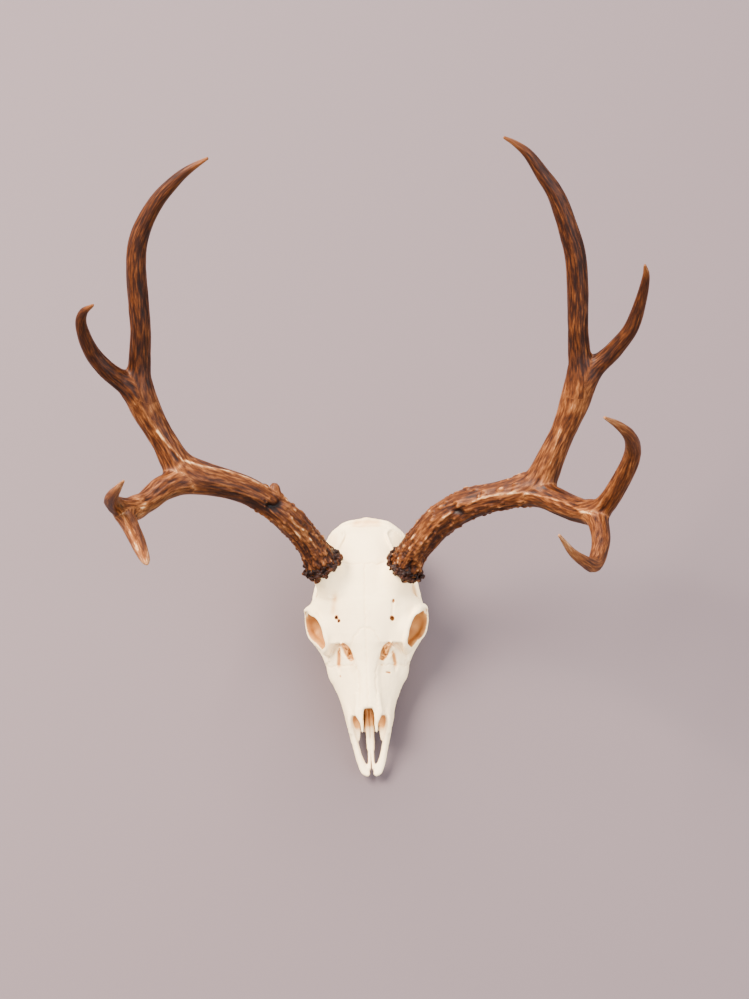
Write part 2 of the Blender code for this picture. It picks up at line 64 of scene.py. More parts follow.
# %% From millimetres and pixels to the scene
import math
from collections import namedtuple

import bpy
import numpy as np
import openvdb
from mathutils import Matrix, Vector, noise

MM = 0.001
SKULL_LENGTH = 282.0
NOSE_Y = -219.6
MIDLINE_X = -8.8
MIDLINE_BOW = 2.2

PHOTO_SIZE = (749, 999)
PHOTO_CENTRE = (374.5, 499.5)
PIXEL_MM = 1.06
LENS_DISTANCE = 2200.0
VIEW_ELEVATION = math.radians(65.0)
VIEW_ROLL = math.radians(0.9)
VIEW_TURN = Matrix.Rotation(math.radians(1.5), 3, "Y")
AIM = Vector((10.9, 262.5, 147.6))
VIEW_RIGHT = VIEW_TURN @ Vector((1.0, 0.0, 0.0))
VIEW_UP = VIEW_TURN @ Vector((0.0, math.sin(VIEW_ELEVATION), math.cos(VIEW_ELEVATION)))
VIEW_OUT = VIEW_TURN @ Vector((0.0, -math.cos(VIEW_ELEVATION), math.sin(VIEW_ELEVATION)))


def placed(points):
    """Points in millimetres from the nose, as metres in the scene."""
    return (np.asarray(points, float) + (MIDLINE_X, NOSE_Y, 0.0)) * MM


def seen(across_px, down_px, out):
    """A point read from the photograph, in millimetres from the nose."""
    right = across_px - PHOTO_CENTRE[0]
    up = PHOTO_CENTRE[1] - down_px
    scale = PIXEL_MM * (1.0 - out / LENS_DISTANCE)
    across = (right * math.cos(VIEW_ROLL) + up * math.sin(VIEW_ROLL)) * scale
    along = (up * math.cos(VIEW_ROLL) - right * math.sin(VIEW_ROLL)) * scale
    return AIM + VIEW_RIGHT * across + VIEW_UP * along + VIEW_OUT * out


def bow(s):
    """How far the midline bends to the deer's right, because it didn't grow quite straight."""
    return MIDLINE_BOW * np.sin(math.pi * np.clip(np.asarray(s) / SKULL_LENGTH, 0.0, 1.0))


print("the nose tip stands at", placed((0, 0, 0)))

# %% Put the camera where the photographer stood
SENSOR_HEIGHT = 24.0
FARTHEST_SEEN = 50.0


def put_in_scene(name, data):
    """A new object in the scene that holds this camera, lamp or mesh."""
    made = bpy.data.objects.new(name, data)
    bpy.context.scene.collection.objects.link(made)
    return made


lens = bpy.data.cameras.new("camera")
lens.sensor_fit = "VERTICAL"
lens.sensor_height = SENSOR_HEIGHT
lens.lens = SENSOR_HEIGHT * LENS_DISTANCE / (PHOTO_SIZE[1] * PIXEL_MM)
lens.clip_end = FARTHEST_SEEN
camera = put_in_scene("camera", lens)
bpy.context.scene.camera = camera

right = VIEW_RIGHT * math.cos(VIEW_ROLL) - VIEW_UP * math.sin(VIEW_ROLL)
upward = VIEW_UP * math.cos(VIEW_ROLL) + VIEW_RIGHT * math.sin(VIEW_ROLL)
turned = Matrix((right, upward, VIEW_OUT)).transposed().to_4x4()
camera.matrix_world = Matrix.Translation(Vector(placed(AIM + VIEW_OUT * LENS_DISTANCE))) @ turned
print("lens", round(lens.lens, 2), "mm at", tuple(round(v, 3) for v in camera.location))

# %% [markdown]
# ## The room
# The object is nearly white, so the floor is a warm grey, a good step darker than bone. It is
# painted board: matt, so that it takes a soft shadow and shows no reflection. The lamps are
# strong enough to lift the bone to white, so the floor's own colour has to be a dark one.
# A large lamp up to the left gives the main light and the soft shadow to the right. A wide weak
# lamp on the other side keeps the hollows readable, and a low one behind draws the outline.

# %% Colours from hex values
def linear(code):
    """An sRGB hex value as the linear colour that materials and lamps are mixed in."""
    shares = [int(code[i:i + 2], 16) / 255 for i in (1, 3, 5)]
    mixed = [v / 12.92 if v <= 0.04045 else ((v + 0.055) / 1.055) ** 2.4 for v in shares]
    return (*mixed, 1.0)


def add_node(tree, kind, settings=None, inputs=None):
    """Adds a node: settings are its own choices, inputs are values or sockets to link."""
    node = tree.nodes.new(kind)
    for name, value in (settings or {}).items():
        setattr(node, name, value)
    for name, value in (inputs or {}).items():
        if isinstance(value, bpy.types.NodeSocket):
            tree.links.new(value, node.inputs[name])
        else:
            node.inputs[name].default_value = value
    return node


print("the grey #808080 is", round(linear("#808080")[0], 3), "in linear light")

# %% The floor
FLOOR_SIZE = 8.0
FLOOR_COLOUR = "#534546"
PAINT_ROUGHNESS = 0.85
PAINT_IOR = 1.5


def mesh_of(name, points, faces):
    """A new mesh from rows of points and faces."""
    mesh = bpy.data.meshes.new(name)
    mesh.from_pydata(points, [], faces)
    return mesh


def material_of(name, roughness, ior, specular=0.5):
    """A new material, its nodes and its shader, with what is the same all over it."""
    made = bpy.data.materials.new(name)
    made.use_nodes = True
    shader = made.node_tree.nodes["Principled BSDF"]
    shader.inputs["Roughness"].default_value = roughness
    shader.inputs["IOR"].default_value = ior
    shader.inputs["Specular IOR Level"].default_value = specular
    return made, made.node_tree, shader


half = FLOOR_SIZE / 2
floor_corners = [(-half, -half, 0), (half, -half, 0), (half, half, 0), (-half, half, 0)]
floor = put_in_scene("floor", mesh_of("floor", floor_corners, [(0, 1, 2, 3)]))
painted, tree, shader = material_of("painted studio floor", PAINT_ROUGHNESS, PAINT_IOR)
shader.inputs["Base Color"].default_value = linear(FLOOR_COLOUR)
floor.data.materials.append(painted)
print("the floor is", FLOOR_SIZE, "m wide")

# %% The lamps and the sky
LAMP_AIM_HEIGHT = 0.15
LAMPS = {
    "main lamp": {"at": (-1.5, 0.7, 2.6), "size": 1.6, "power": 580.0, "colour": "#FFF6EC"},
    "fill lamp": {"at": (2.2, -1.2, 1.8), "size": 2.4, "power": 130.0, "colour": "#EEF3FF"},
    "back lamp": {"at": (0.3, 2.4, 1.2), "size": 1.2, "power": 100.0, "colour": "#FFFFFF"},
}
SKY_COLOUR = "#E9ECF2"
SKY_STRENGTH = 2.9

target = Vector(((cad_box[0][0] + cad_box[1][0]) / 2, 0.0, LAMP_AIM_HEIGHT))
for name, lamp in LAMPS.items():
    light = bpy.data.lights.new(name, "AREA")
    light.size = lamp["size"]
    light.energy = lamp["power"]
    light.color = linear(lamp["colour"])[:3]
    stand = put_in_scene(name, light)
    stand.location = lamp["at"]
    stand.rotation_euler = (stand.location - target).to_track_quat("Z", "Y").to_euler()

world = bpy.data.worlds.new("sky")
bpy.context.scene.world = world
world.use_nodes = True
sky = world.node_tree.nodes["Background"]
sky.inputs["Color"].default_value = linear(SKY_COLOUR)
sky.inputs["Strength"].default_value = SKY_STRENGTH
print("lamps:", ", ".join(LAMPS))

# %% [markdown]
# ## Bone as a field of distances
# Bone has no hard joins: every ridge melts into the next. A mesh welded from tubes and balls
# would show each seam, so the skull is first a block of numbers. Each number says how far that
# point is from the surface, and is below zero inside. Two shapes melt together where their
# numbers are blended, and a hollow is carved by blending with its numbers turned round. The
# surface is then taken where the number is zero.

# %% The grid
# Distances are kept up to this many steps of the grid from a surface. No reach on the skull is longer.
BAND = 8.0
Grid = namedtuple("Grid", "low grain shape")


def grid_between(low, high, grain):
    """A block of points between two corners, this many millimetres apart."""
    low = np.array(low, float)
    return Grid(low, grain, tuple(int(n) for n in np.ceil((np.array(high) - low) / grain) + 1))


BONE_GRAIN = 1.1
HALF_WIDTH = 69 * BONE_GRAIN
skull_grid = grid_between((-HALF_WIDTH, -5, -5), (HALF_WIDTH, 291, 134), BONE_GRAIN)
print("the skull's grid has", skull_grid.shape, "points")

# %% [markdown]
# A shape enters the block as a closed skin, a stack of rings of points. A bar follows a smooth
# curve through its knots, and suits rims, arches and prongs. A loft lies along the midline with
# a cross-section at each station, and suits the muzzle, the forehead and the chambers.

# %% Skins over rings, and smooth curves
def skin_of_rings(rings, closed=False):
    """Points, triangles and quads of the skin over a stack of rings of points."""
    count, sides = rings.shape[:2]
    index = np.arange(count * sides).reshape(count, sides)
    below = index if closed else index[:-1]
    above = np.roll(index, -1, axis=0) if closed else index[1:]
    corners = [below, np.roll(below, -1, axis=1), np.roll(above, -1, axis=1), above]
    quads = np.stack(corners, axis=-1).reshape(-1, 4)
    points = rings.reshape(-1, 3)
    if closed:
        return points, np.zeros((0, 3), int), quads
    points = np.vstack([points, rings[0].mean(axis=0), rings[-1].mean(axis=0)])
    fans = [(np.full(sides, count * sides), np.roll(index[0], -1), index[0])]
    fans.append((np.full(sides, count * sides + 1), index[-1], np.roll(index[-1], -1)))
    return points, np.vstack([np.stack(fan, axis=-1) for fan in fans]), quads


def smooth_rows(rows, step, closed=False):
    """Rows read from one smooth curve through the given rows, about a step apart."""
    rows = np.array(rows, float)
    if closed:
        before, after = rows[-1:], rows[:2]
    else:
        before, after = 2 * rows[:1] - rows[1:2], 2 * rows[-1:] - rows[-2:-1]
    padded = np.concatenate([before, rows, after])
    found = []
    for a, b, c, d in zip(padded, padded[1:], padded[2:], padded[3:]):
        count = max(1, round(np.linalg.norm((c - b)[:3]) / step))
        for t in np.arange(count)[:, None] / count:
            square = (2 * a - 5 * b + 4 * c - d) * t**2
            cube = (3 * b - a - 3 * c + d) * t**3
            found.append(0.5 * (2 * b + (c - a) * t + square + cube))
    return np.vstack(found if closed else [*found, rows[-1:]])


three_knots = [(0, 0, 0), (0, 10, 5), (0, 20, 0)]
print("a curve through three knots has", len(smooth_rows(three_knots, 1.0)), "points")

# %% Skins of bars and lofts
# A bar whose lean has a smaller sine than this is too upright to be crossed with the z axis.
NEARLY_UPRIGHT = 0.2


def turned_along(middle, closed=False):
    """For each point of a curve, its direction and two more square to it that don't twist."""
    if closed:
        ways = np.roll(middle, -1, axis=0) - np.roll(middle, 1, axis=0)
    else:
        ways = np.gradient(middle, axis=0)
    ways /= np.linalg.norm(ways, axis=1)[:, None]
    side = np.cross(ways[0], (0, 0, 1))
    if np.linalg.norm(side) < NEARLY_UPRIGHT:
        side = np.cross(ways[0], (0, 1, 0))
    sides = []
    for way in ways:
        side = side - way * side.dot(way)
        side /= np.linalg.norm(side)
        sides.append(side)
    sides = np.array(sides)
    return ways, sides, np.cross(sides, ways)


def bar_skin(knots, closed=False, sides=20, step=1.5):
    """A bar along knots of x, s, z, sideways radius and upward radius."""
    rows = smooth_rows(knots, step, closed)
    middle = rows[:, :3]
    ways, across, rise = turned_along(middle, closed)
    turn = np.linspace(0, 2 * math.pi, sides, endpoint=False)
    wide = rows[:, 3, None, None] * across[:, None] * np.cos(turn)[None, :, None]
    tall = rows[:, 4, None, None] * rise[:, None] * np.sin(turn)[None, :, None]
    return skin_of_rings(middle[:, None] + wide + tall, closed)


def loft_skin(stations, power=2.8, sides=64, step=2.0):
    """A body along the midline through cross-sections with flattened sides."""
    s, low, high, wide_low, wide_mid, wide_high, droop = smooth_rows(stations, step).T[:, :, None]
    turn = np.linspace(0, 2 * math.pi, sides, endpoint=False)[None]
    lift = np.sign(np.sin(turn)) * np.abs(np.sin(turn)) ** (2 / power)
    share = np.sign(np.cos(turn)) * np.abs(np.cos(turn)) ** (2 / power)
    lean, belly = (wide_high - wide_low) / 2, (wide_high + wide_low) / 2 - wide_mid
    x = (wide_mid + lean * lift + belly * lift**2) * share
    z = (low + high) / 2 + (high - low) / 2 * lift - droop * share**2
    return skin_of_rings(np.stack([x, np.broadcast_to(s, x.shape), z], axis=-1))


plain_bar = bar_skin([(0, 0, 0, 5, 5), (0, 30, 0, 5, 5)])
print("the skin of a plain bar of 30 mm has", len(plain_bar[0]), "points")

# %% [markdown]
# The library turns a skin into distances. An egg shape needs no skin, because its distance is
# nearly a formula. Melting takes the nearer of two shapes and, where they are about equally
# near, a little less than that, which fills the corner between them like a fillet.

# %% Distances, melting and carving
def level_set_of(points, triangles, quads, band=BAND):
    """The distances near a closed skin whose points are given in steps of a grid."""
    return openvdb.FloatGrid.createLevelSetFromPolygons(
        points.astype(np.float32),
        triangles=triangles.astype(np.uint32), quads=quads.astype(np.uint32),
        transform=openvdb.createLinearTransform(voxelSize=1.0), halfWidth=band,
    )


def distance_to(skin, grid):
    """How far every point of the grid is from a closed skin, in millimetres."""
    points, triangles, quads = skin
    found = np.empty(grid.shape, np.float32)
    level_set_of((points - grid.low) / grid.grain, triangles, quads).copyToArray(found)
    return found * grid.grain


def axes_of(grid):
    """The grid's x, s and z, ready to be combined over the whole block."""
    counts = [np.arange(size, dtype=np.float32) for size in grid.shape]
    x, s, z = (low + grid.grain * count for low, count in zip(grid.low, counts))
    return x[:, None, None], s[None, :, None], z[None, None, :]


def ball(centre, radii, grid):
    """The distance from an egg shape with its axes along x, s and z."""
    parts = [(axis - c) / r for axis, c, r in zip(axes_of(grid), centre, radii)]
    first = np.sqrt(sum(p**2 for p in parts)) + 1e-6
    second = np.sqrt(sum((p / r) ** 2 for p, r in zip(parts, radii))) + 1e-6
    return (first * (first - 1) / second).astype(np.float32)


def melt(one, other, reach):
    """Joins two shapes, rounding the inner corner over this many millimetres."""
    share = np.clip(0.5 + 0.5 * (other - one) / reach, 0, 1)
    return other + (one - other) * share - reach * share * (1 - share)


def carve(one, other, reach):
    """Takes the other shape out of this one."""
    return -melt(-one, other, reach)


print("a reach of 4 mm fills a corner by", -melt(0.0, 0.0, 4.0), "mm")

# %% [markdown]
# ## The skull's large forms
# The long forms that lie on the midline are lofts: the muzzle, the raised nose bones, the
# forehead, the braincase, the palate and the base. Each row of a loft is one cross-section. A
# skull is the same on both sides, so bars and lumps are made for one side and mirrored.

# %% Cross-sections: s, lowest z, highest z, half-widths low, halfway and high, droop
MUZZLE = [
    (58, 18, 54.5, 19, 23.5, 12.5, 0), (63, 15, 59, 21, 25.4, 13, 1), (80, 12.5, 65, 25, 30.8, 15, 2),
    (91, 12, 67.5, 28, 34.8, 17, 3), (103, 11.5, 71, 32, 38.8, 23, 4), (115, 11, 74.5, 37, 43, 32, 5),
    (126, 11, 78, 38, 43, 38, 5), (140, 12, 82, 30, 34, 28, 2), (160, 18, 92, 22, 27, 28, 2),
    (190, 34, 102, 22, 26, 30, 2),
]
NOSE_BONES = [
    (57, 50, 58.5, 12, 14, 11, 5), (66, 52, 62, 10.5, 13, 10.5, 5), (80, 56, 67, 8, 10.5, 9, 4),
    (94, 60, 71.5, 8, 10, 9, 3), (104, 64, 76, 9, 11.5, 10, 3), (115, 69, 82, 12, 15, 14, 3),
    (124, 73, 87, 16, 19, 18, 3), (136, 76, 92.5, 20, 23, 22, 3), (150, 80, 98, 22, 26, 24, 2),
    (166, 84, 103, 22, 26, 24, 2),
]
FOREHEAD = [
    (127, 79, 84.5, 37, 38.5, 37.5, 5), (131, 78.5, 87.5, 41, 42, 41, 8), (138, 79, 92, 44, 45, 44, 10),
    (150, 80, 99, 48, 49, 48, 12), (160, 84, 104, 56, 57, 55, 18),
    (167, 86, 106.5, 61.5, 62.5, 60.5, 21), (173, 87, 108.5, 57, 59, 56, 19),
    (181, 88, 110.5, 49.5, 50.5, 48, 14), (195, 88, 113.5, 45, 45, 43, 10),
    (210, 86, 112.5, 38, 38, 36, 8), (224, 82, 106, 30, 30, 28, 6), (236, 78, 98, 22, 22, 20, 5),
]
BRAINCASE = [
    (168, 58, 84, 16, 20, 16, 0), (178, 50, 96, 24, 28, 24, 0), (195, 44, 109.5, 30, 34, 29, 0),
    (210, 40, 112.5, 34, 38, 30, 0), (228, 37, 110, 38, 41, 30, 0), (243, 35, 103, 40, 43, 28, 0),
    (254, 34, 94, 40, 42.5, 28, 0), (262, 35, 85.5, 36, 39, 28, 0), (268, 37, 76, 26, 30, 22, 0),
]
PALATE = [
    (50, 13, 19, 16, 16, 16, 0), (66, 12.5, 20, 19, 19, 19, 0), (100, 13, 21, 22, 22, 22, 0),
    (140, 15, 23, 24, 24, 24, 0), (154, 18, 25, 20, 20, 20, 0),
]
BASE = [
    (170, 46, 62, 11, 14, 16, 0), (195, 42, 62, 13, 17, 20, 0), (225, 37, 60, 17, 21, 24, 0),
    (255, 33, 58, 20, 22, 24, 0), (270, 31, 52, 17, 18, 18, 0),
]

# For each body: its sections, how square they are, and how far it melts into the ones before.
BODIES = [
    (MUZZLE, 2.4, 0), (FOREHEAD, 2.8, 1.5), (NOSE_BONES, 2.2, 7),
    (BRAINCASE, 2.8, 8), (PALATE, 2.8, 4), (BASE, 2.8, 4),
]


def bone_volume(field):
    """The cubic centimetres inside the surface, with the hollows left out."""
    return round(float((field < 0).sum()) * BONE_GRAIN**3 / 1000)


whole = None
for stations, power, reach in BODIES:
    part = distance_to(loft_skin(stations, power), skull_grid)
    whole = part if whole is None else melt(whole, part, reach)
print("bone so far:", bone_volume(whole), "cm3")

# %% Bars and lumps of one side: x, s, z, then radii
NOSE_TIP = [
    (3.2, 1.2, 13, 1.8, 2.6), (5.7, 4.4, 13.2, 4.3, 3.2), (8.7, 9, 14.2, 4.6, 3.7),
    (12.7, 20, 17, 3.7, 4.6), (15.8, 32, 20.5, 3.4, 6), (18.8, 43, 24, 2.8, 8.5),
    (21.2, 52, 28, 2.6, 11), (22.8, 60, 31, 2.6, 12.5), (24, 70, 33, 2.4, 13), (25, 80, 34, 2, 10),
]
TOOTH_BED = [
    (17.5, 66, 16.5, 3, 3), (20.5, 78, 16.5, 5.5, 6), (23.5, 88, 18, 7.5, 11), (26.5, 100, 18.5, 8.5, 13),
    (29, 118, 18.5, 9.5, 13.5), (31, 142, 18.5, 9.5, 14), (29.5, 162, 19, 9, 15), (26, 173, 29, 6, 11),
]
NECK_PROCESS = [
    (37, 247, 52, 6, 11), (34, 255, 37, 4, 9), (31, 261, 20, 2.8, 7.4), (29, 264.5, 8, 2.4, 5.8),
    (28.5, 266, -2, 2.4, 5),
]
NECK_CREST = [
    (43, 249, 40, 4, 4), (42.5, 253, 54, 2.8, 2.8), (35, 259, 69, 2.4, 2.4),
    (24, 264, 80.5, 2.4, 2.4), (12, 266.5, 83, 2.4, 2.4), (-1, 268, 83.5, 2.8, 2.6),
]
# For each lump: its middle, its three radii, and how far it melts into the rest.
LUMPS = [
    ((34, 116, 36), (10, 20, 14), 8),  # cheek swelling over the teeth
    ((41, 149, 66), (18, 22.5, 22.5), 4),  # walls of the eye socket
    ((55.5, 159.5, 68), (8.5, 10.5, 20.5), 3),  # wall behind the back of the eye rim
    ((43, 126, 60), (5, 5, 9), 4),  # below the front of the eye socket
    ((55, 168, 68), (8, 3.5, 16), 4),  # bar behind the eye
    ((24, 226, 38.5), (8, 15, 10.5), 4),  # ear capsule
    ((38, 243, 52), (8, 13, 14), 4),  # bone behind the ear
    ((39, 212, 50), (15, 10, 6.5), 3),  # jaw joint
    ((43, 234, 52), (8, 5, 5), 2),  # ear tube
    ((13, 270, 41), (8, 10.5, 13), 6),  # neck joint
    ((31, 198, 89), (16, 24, 13), 8),  # root of the pedicle
    ((0, 267, 82.5), (5, 3.5, 4), 2),  # knob at the top of the neck
]
BARS = [(NOSE_TIP, 2), (TOOTH_BED, 4), (NECK_PROCESS, 3), (NECK_CREST, 3)]
SIDES_REACH = 3.0

one_side = None
for bar, reach in BARS:
    part = distance_to(bar_skin(bar), skull_grid)
    one_side = part if one_side is None else melt(one_side, part, reach)
for centre, radii, reach in LUMPS:
    one_side = melt(one_side, ball(centre, radii, skull_grid), reach)
whole = melt(whole, np.minimum(one_side, one_side[::-1]), SIDES_REACH)
print("bars and lumps on each side:", len(BARS), "and", len(LUMPS))

# %% [markdown]
# The antlers stand on two posts of living bone, the pedicles, so the antlers' own lines come
# before the skull is done. Each length is a row of points that follows its middle. Across and
# down are read from the photograph. How far a point is towards the lens is chosen from the way
# such antlers grow, forwards and up and then in, and from which tine hides which.

# %% The antlers' lengths: pixel across, pixel down, millimetres towards the lens, radius
LEFT_ANTLER = {
    "beam": [
        (404, 567, 0, 18), (412, 553, 12, 16), (422, 540, 24, 16), (441.5, 519.5, 42, 16.6),
        (466, 505, 62, 16.4), (493, 497.5, 80, 15), (518, 491.5, 94, 15), (539, 481.5, 104, 16),
        (551.5, 456.5, 117, 13.4), (566, 425, 132, 11.8), (576, 400, 143, 12.5), (582, 375, 154, 12),
    ],
    "back_tine": [
        (566.5, 424, 132, 7.5), (576, 400, 143, 11.6), (580, 375, 156, 12), (579, 350, 168, 10.6),
        (577.7, 324, 186, 10.1), (577.7, 286, 208, 10.1), (574.5, 252, 228, 10), (566, 222, 246, 9.2),
        (556, 195, 262, 8), (543, 175, 274, 6.7), (529, 155, 286, 4.8), (516, 144, 294, 3),
        (503.5, 137, 300, 1.3),
    ],
    "side_tine": [
        (566, 422, 133, 6), (574, 399, 143, 9.6), (585, 380, 154, 11), (598, 365, 163, 9.6),
        (613, 351, 176, 8.3), (631, 328, 198, 7.2), (641, 300, 222, 5.5), (646, 277, 244, 3.6),
        (645, 265, 258, 1.3),
    ],
    "front_tine": [
        (510, 492, 90, 9), (528, 491, 98, 13), (550, 498, 118, 13), (575, 509, 148, 12.2),
        (592, 512, 172, 11.2), (606, 504, 190, 10), (619, 484, 215, 9), (630, 462, 240, 8.2),
        (633, 447, 258, 7.4), (629, 435, 285, 5.8), (618, 425, 310, 3.8), (604.5, 417.5, 335, 1.3),
    ],
    "low_tine": [
        (590, 511, 168, 9), (598, 522, 188, 9.6), (601, 540, 212, 8.8), (598, 556, 234, 8),
        (593, 565, 254, 7), (584, 561, 280, 5.4), (572, 552, 306, 3.8), (559, 535, 334, 1.3),
    ],
}
RIGHT_ANTLER = {
    "beam": [
        (323, 565, 0, 18), (315, 551, 12, 15.5), (304, 536, 26, 14), (291, 521, 40, 14.8),
        (270.5, 504.5, 58, 13.8), (246, 490, 76, 14.2), (216, 481, 94, 15.2), (193.5, 475, 106, 17),
        (178, 464, 113, 15.6), (164.5, 441.5, 123, 13), (148.5, 414, 136, 12.8), (139, 392, 148, 12.5),
    ],
    "back_tine": [
        (157, 428, 129, 7.5), (146, 408, 139, 11.6), (140, 385, 152, 12), (139.5, 362, 162, 10.8),
        (140.5, 330, 184, 10), (138.5, 300, 202, 9.9), (136, 270, 220, 9.5), (137.5, 244, 235, 9.1),
        (145, 222, 248, 8.3), (157, 201, 262, 7.2), (173, 183, 276, 5.8), (188, 170, 287, 4),
        (208, 158, 298, 1.3),
    ],
    "side_tine": [
        (156, 427, 130, 6), (144, 405, 141, 9.6), (131, 388, 155, 11), (119, 379, 163, 9.8),
        (105, 368, 178, 8.8), (91, 351, 196, 7.4), (81.5, 327, 222, 5.8), (83, 313, 240, 4.2),
        (93, 305, 262, 1.3),
    ],
    "front_tine": [
        (214, 481, 96, 9), (192, 479, 106, 13), (165, 487, 128, 12.8), (146, 502, 152, 11),
        (131, 509, 172, 10.4), (118, 506, 196, 9), (112, 501, 222, 7.6), (112.5, 496, 248, 5.8),
        (117, 489.5, 274, 3.8), (123.5, 481, 304, 1.3),
    ],
    "low_tine": [
        (136, 507, 166, 9), (126, 515, 186, 9), (130.5, 526, 208, 8.2), (137, 540, 234, 7.4),
        (142, 552, 258, 6), (145.5, 560, 280, 4.2), (147, 564, 298, 1.3),
    ],
}
ANTLERS = {"left": LEFT_ANTLER, "right": RIGHT_ANTLER}
print("lengths in each antler:", ", ".join(LEFT_ANTLER))

# %% The pedicles, two posts of bone under the antlers
PEDICLE_RADIUS = 17.0
PEDICLE_DEPTH = 30.0
PEDICLE_REACH = 8.0


def burr_of(antler):
    """The middle of the burr and the direction in which the antler leaves it."""
    first, second = (np.array(seen(*row[:3])) for row in antler["beam"][:2])
    return first, (second - first) / np.linalg.norm(second - first)


def unbent(point):
    """A point moved into the straight skull, whose midline is bent only at the end."""
    return point + (bow(point[1]), 0.0, 0.0)


for antler in ANTLERS.values():
    top, way = burr_of(antler)
    top = unbent(top)
    ends = [(*(top - way * PEDICLE_DEPTH), PEDICLE_RADIUS + 1, PEDICLE_RADIUS + 1)]
    ends.append((*(top + way * 2), PEDICLE_RADIUS - 1.5, PEDICLE_RADIUS - 1.5))
    whole = melt(whole, distance_to(bar_skin(ends, sides=40), skull_grid), PEDICLE_REACH)
print("bone before hollowing:", bone_volume(whole), "cm3")

# %% [markdown]
# ## Hollows and thin bones
# A dry skull is mostly holes. The nose chamber, the brain chamber and the two eye sockets are
# carved out first. The thin bones are added after that, because the carving would eat them: the
# eye rims, the cheek arches, the prongs of the nose bones and the bones behind the palate.

# %% Hollows along the midline
NOSE_CHAMBER = [
    (40, 21, 54, 11, 13, 9, 0), (60, 20, 55.5, 16, 18, 10, 0), (80, 20, 61, 20, 23, 11, 0),
    (100, 22, 67, 24, 27, 12, 0), (122, 26, 74, 26, 28, 13, 0), (146, 36, 80, 15, 15, 14, 0),
]
NOSE_MOUTH = [
    (34, 30, 84, 14, 16, 17, 0), (46, 34, 84, 16, 18.4, 18.4, 0), (54, 40, 84, 16, 18.6, 18.6, 0),
    (59.5, 48, 84, 14, 17.6, 17.6, 0),
]
NOSE_SLOT = [(50, 38, 84, 5.5, 5.5, 5.5, 0), (61, 40, 84, 5.5, 5.5, 5.5, 0)]
BRAIN_CHAMBER = [
    (190, 64, 98, 12, 14, 14, 0), (204, 52, 105, 24, 27, 22, 0), (228, 48, 103, 31, 33, 23, 0),
    (246, 45, 95, 31, 33, 20, 0), (258, 42, 82, 22, 24, 13, 0), (266, 42, 68, 13, 13, 10, 0),
]
SPINAL_OPENING = [
    (254, 44, 68, 11, 12, 11, 0), (272, 43, 66, 12, 13, 11, 0), (296, 41, 64, 13, 14, 12, 0),
]
THROAT_OPENING = [
    (150, 25, 40, 8, 9, 9, 0), (165, 22, 42, 11, 11, 10, 0), (196, 8, 41, 13, 12, 10, 0),
]

OPENINGS = [(NOSE_MOUTH, 2.6, 1.5), (NOSE_SLOT, 5, 0.8), (SPINAL_OPENING, 2.3, 2), (THROAT_OPENING, 2.8, 2)]
CHAMBER_REACH = 2.0

nose_hollow = distance_to(loft_skin(NOSE_CHAMBER), skull_grid)
brain_hollow = distance_to(loft_skin(BRAIN_CHAMBER), skull_grid)
for stations, power, reach in OPENINGS:
    whole = carve(whole, distance_to(loft_skin(stations, power), skull_grid), reach)
for hollow in (nose_hollow, brain_hollow):
    whole = carve(whole, hollow, CHAMBER_REACH)
print("bone with its chambers:", bone_volume(whole), "cm3")

# %% Hollows of both sides: the eye sockets, the tear pits and the gaps before the forehead
EYE_SOCKET = [
    (76, 135, 74, 25, 25), (61, 142, 70, 21.5, 21.5), (50, 146.5, 68, 19.5, 19.5),
    (42, 149, 67, 17.4, 17.4), (35, 151, 66.5, 14, 14), (31, 152.2, 66, 9.5, 9.5),
    (29.5, 152.8, 66, 5, 5),
]
FACE_GAP = [
    (27, 124.5, 80, 2.6, 3), (22.5, 121, 76, 4.6, 5), (18.5, 117, 72, 4.2, 5),
    (15.5, 111.5, 69.5, 2.2, 3),
]
TEAR_PIT = [(38, 121, 79, 4, 4), (43, 120, 72, 5, 5), (46, 118, 64, 3, 3)]
SHRED_REACH = 0.8


def both_sides(bars, sides=24):
    """The distance from the same bars on the deer's left and right."""
    made = None
    for bar in bars:
        part = distance_to(bar_skin(bar, sides=sides), skull_grid)
        made = part if made is None else melt(made, part, SHRED_REACH)
    return np.minimum(made, made[::-1])


eye_hollow = both_sides([EYE_SOCKET], sides=48)
gap_hollow = both_sides([FACE_GAP])
for hollow, reach in ((eye_hollow, 2.5), (both_sides([TEAR_PIT]), 5.0), (gap_hollow, 1.2)):
    whole = carve(whole, hollow, reach)
print("bone after hollowing:", bone_volume(whole), "cm3")

# %% Thin bones
EYE_RIM = [
    (42, 131, 81.5, 2.2, 1.9), (45, 142, 85, 1.9, 1.6), (50.5, 153, 86.5, 1.7, 1.4),
    (58, 163, 84.5, 1.9, 1.5), (64, 167.5, 77, 2.6, 1.5), (64.2, 167, 65, 3, 1.6),
    (63.8, 159, 54, 3.4, 2.2), (60, 147, 49.5, 3.8, 3), (51, 137, 50.5, 4, 3.4),
    (46, 129, 56, 3.4, 3.2), (43.5, 124.5, 66, 2.8, 2.6), (41.5, 126, 76, 2.4, 2.2),
]
CHEEK_ARCH = [
    (41, 120, 42, 5, 9), (47, 131, 44, 4, 7), (55, 143, 45, 3.6, 6), (62, 156, 47, 3.5, 6),
    (62, 168, 50, 3.5, 6.5), (57.5, 182, 52, 3.2, 5), (54.5, 196, 53, 3.2, 4.8),
    (50.5, 207, 52.5, 4.2, 5), (40, 215, 52, 6, 5.5),
]
EYE_FLOOR = [
    (50, 140, 46, 7, 2), (53, 152, 47.5, 8.5, 2), (54, 166, 50, 8, 2), (51, 180, 52, 6.5, 2),
    (48, 194, 53, 6.5, 2), (43, 206, 53, 6, 2),
]
BEHIND_PALATE = [
    (15, 152, 27, 3, 8), (13.5, 168, 30, 2.4, 11), (13, 184, 34, 2.2, 13), (14, 196, 41, 2.4, 9),
]
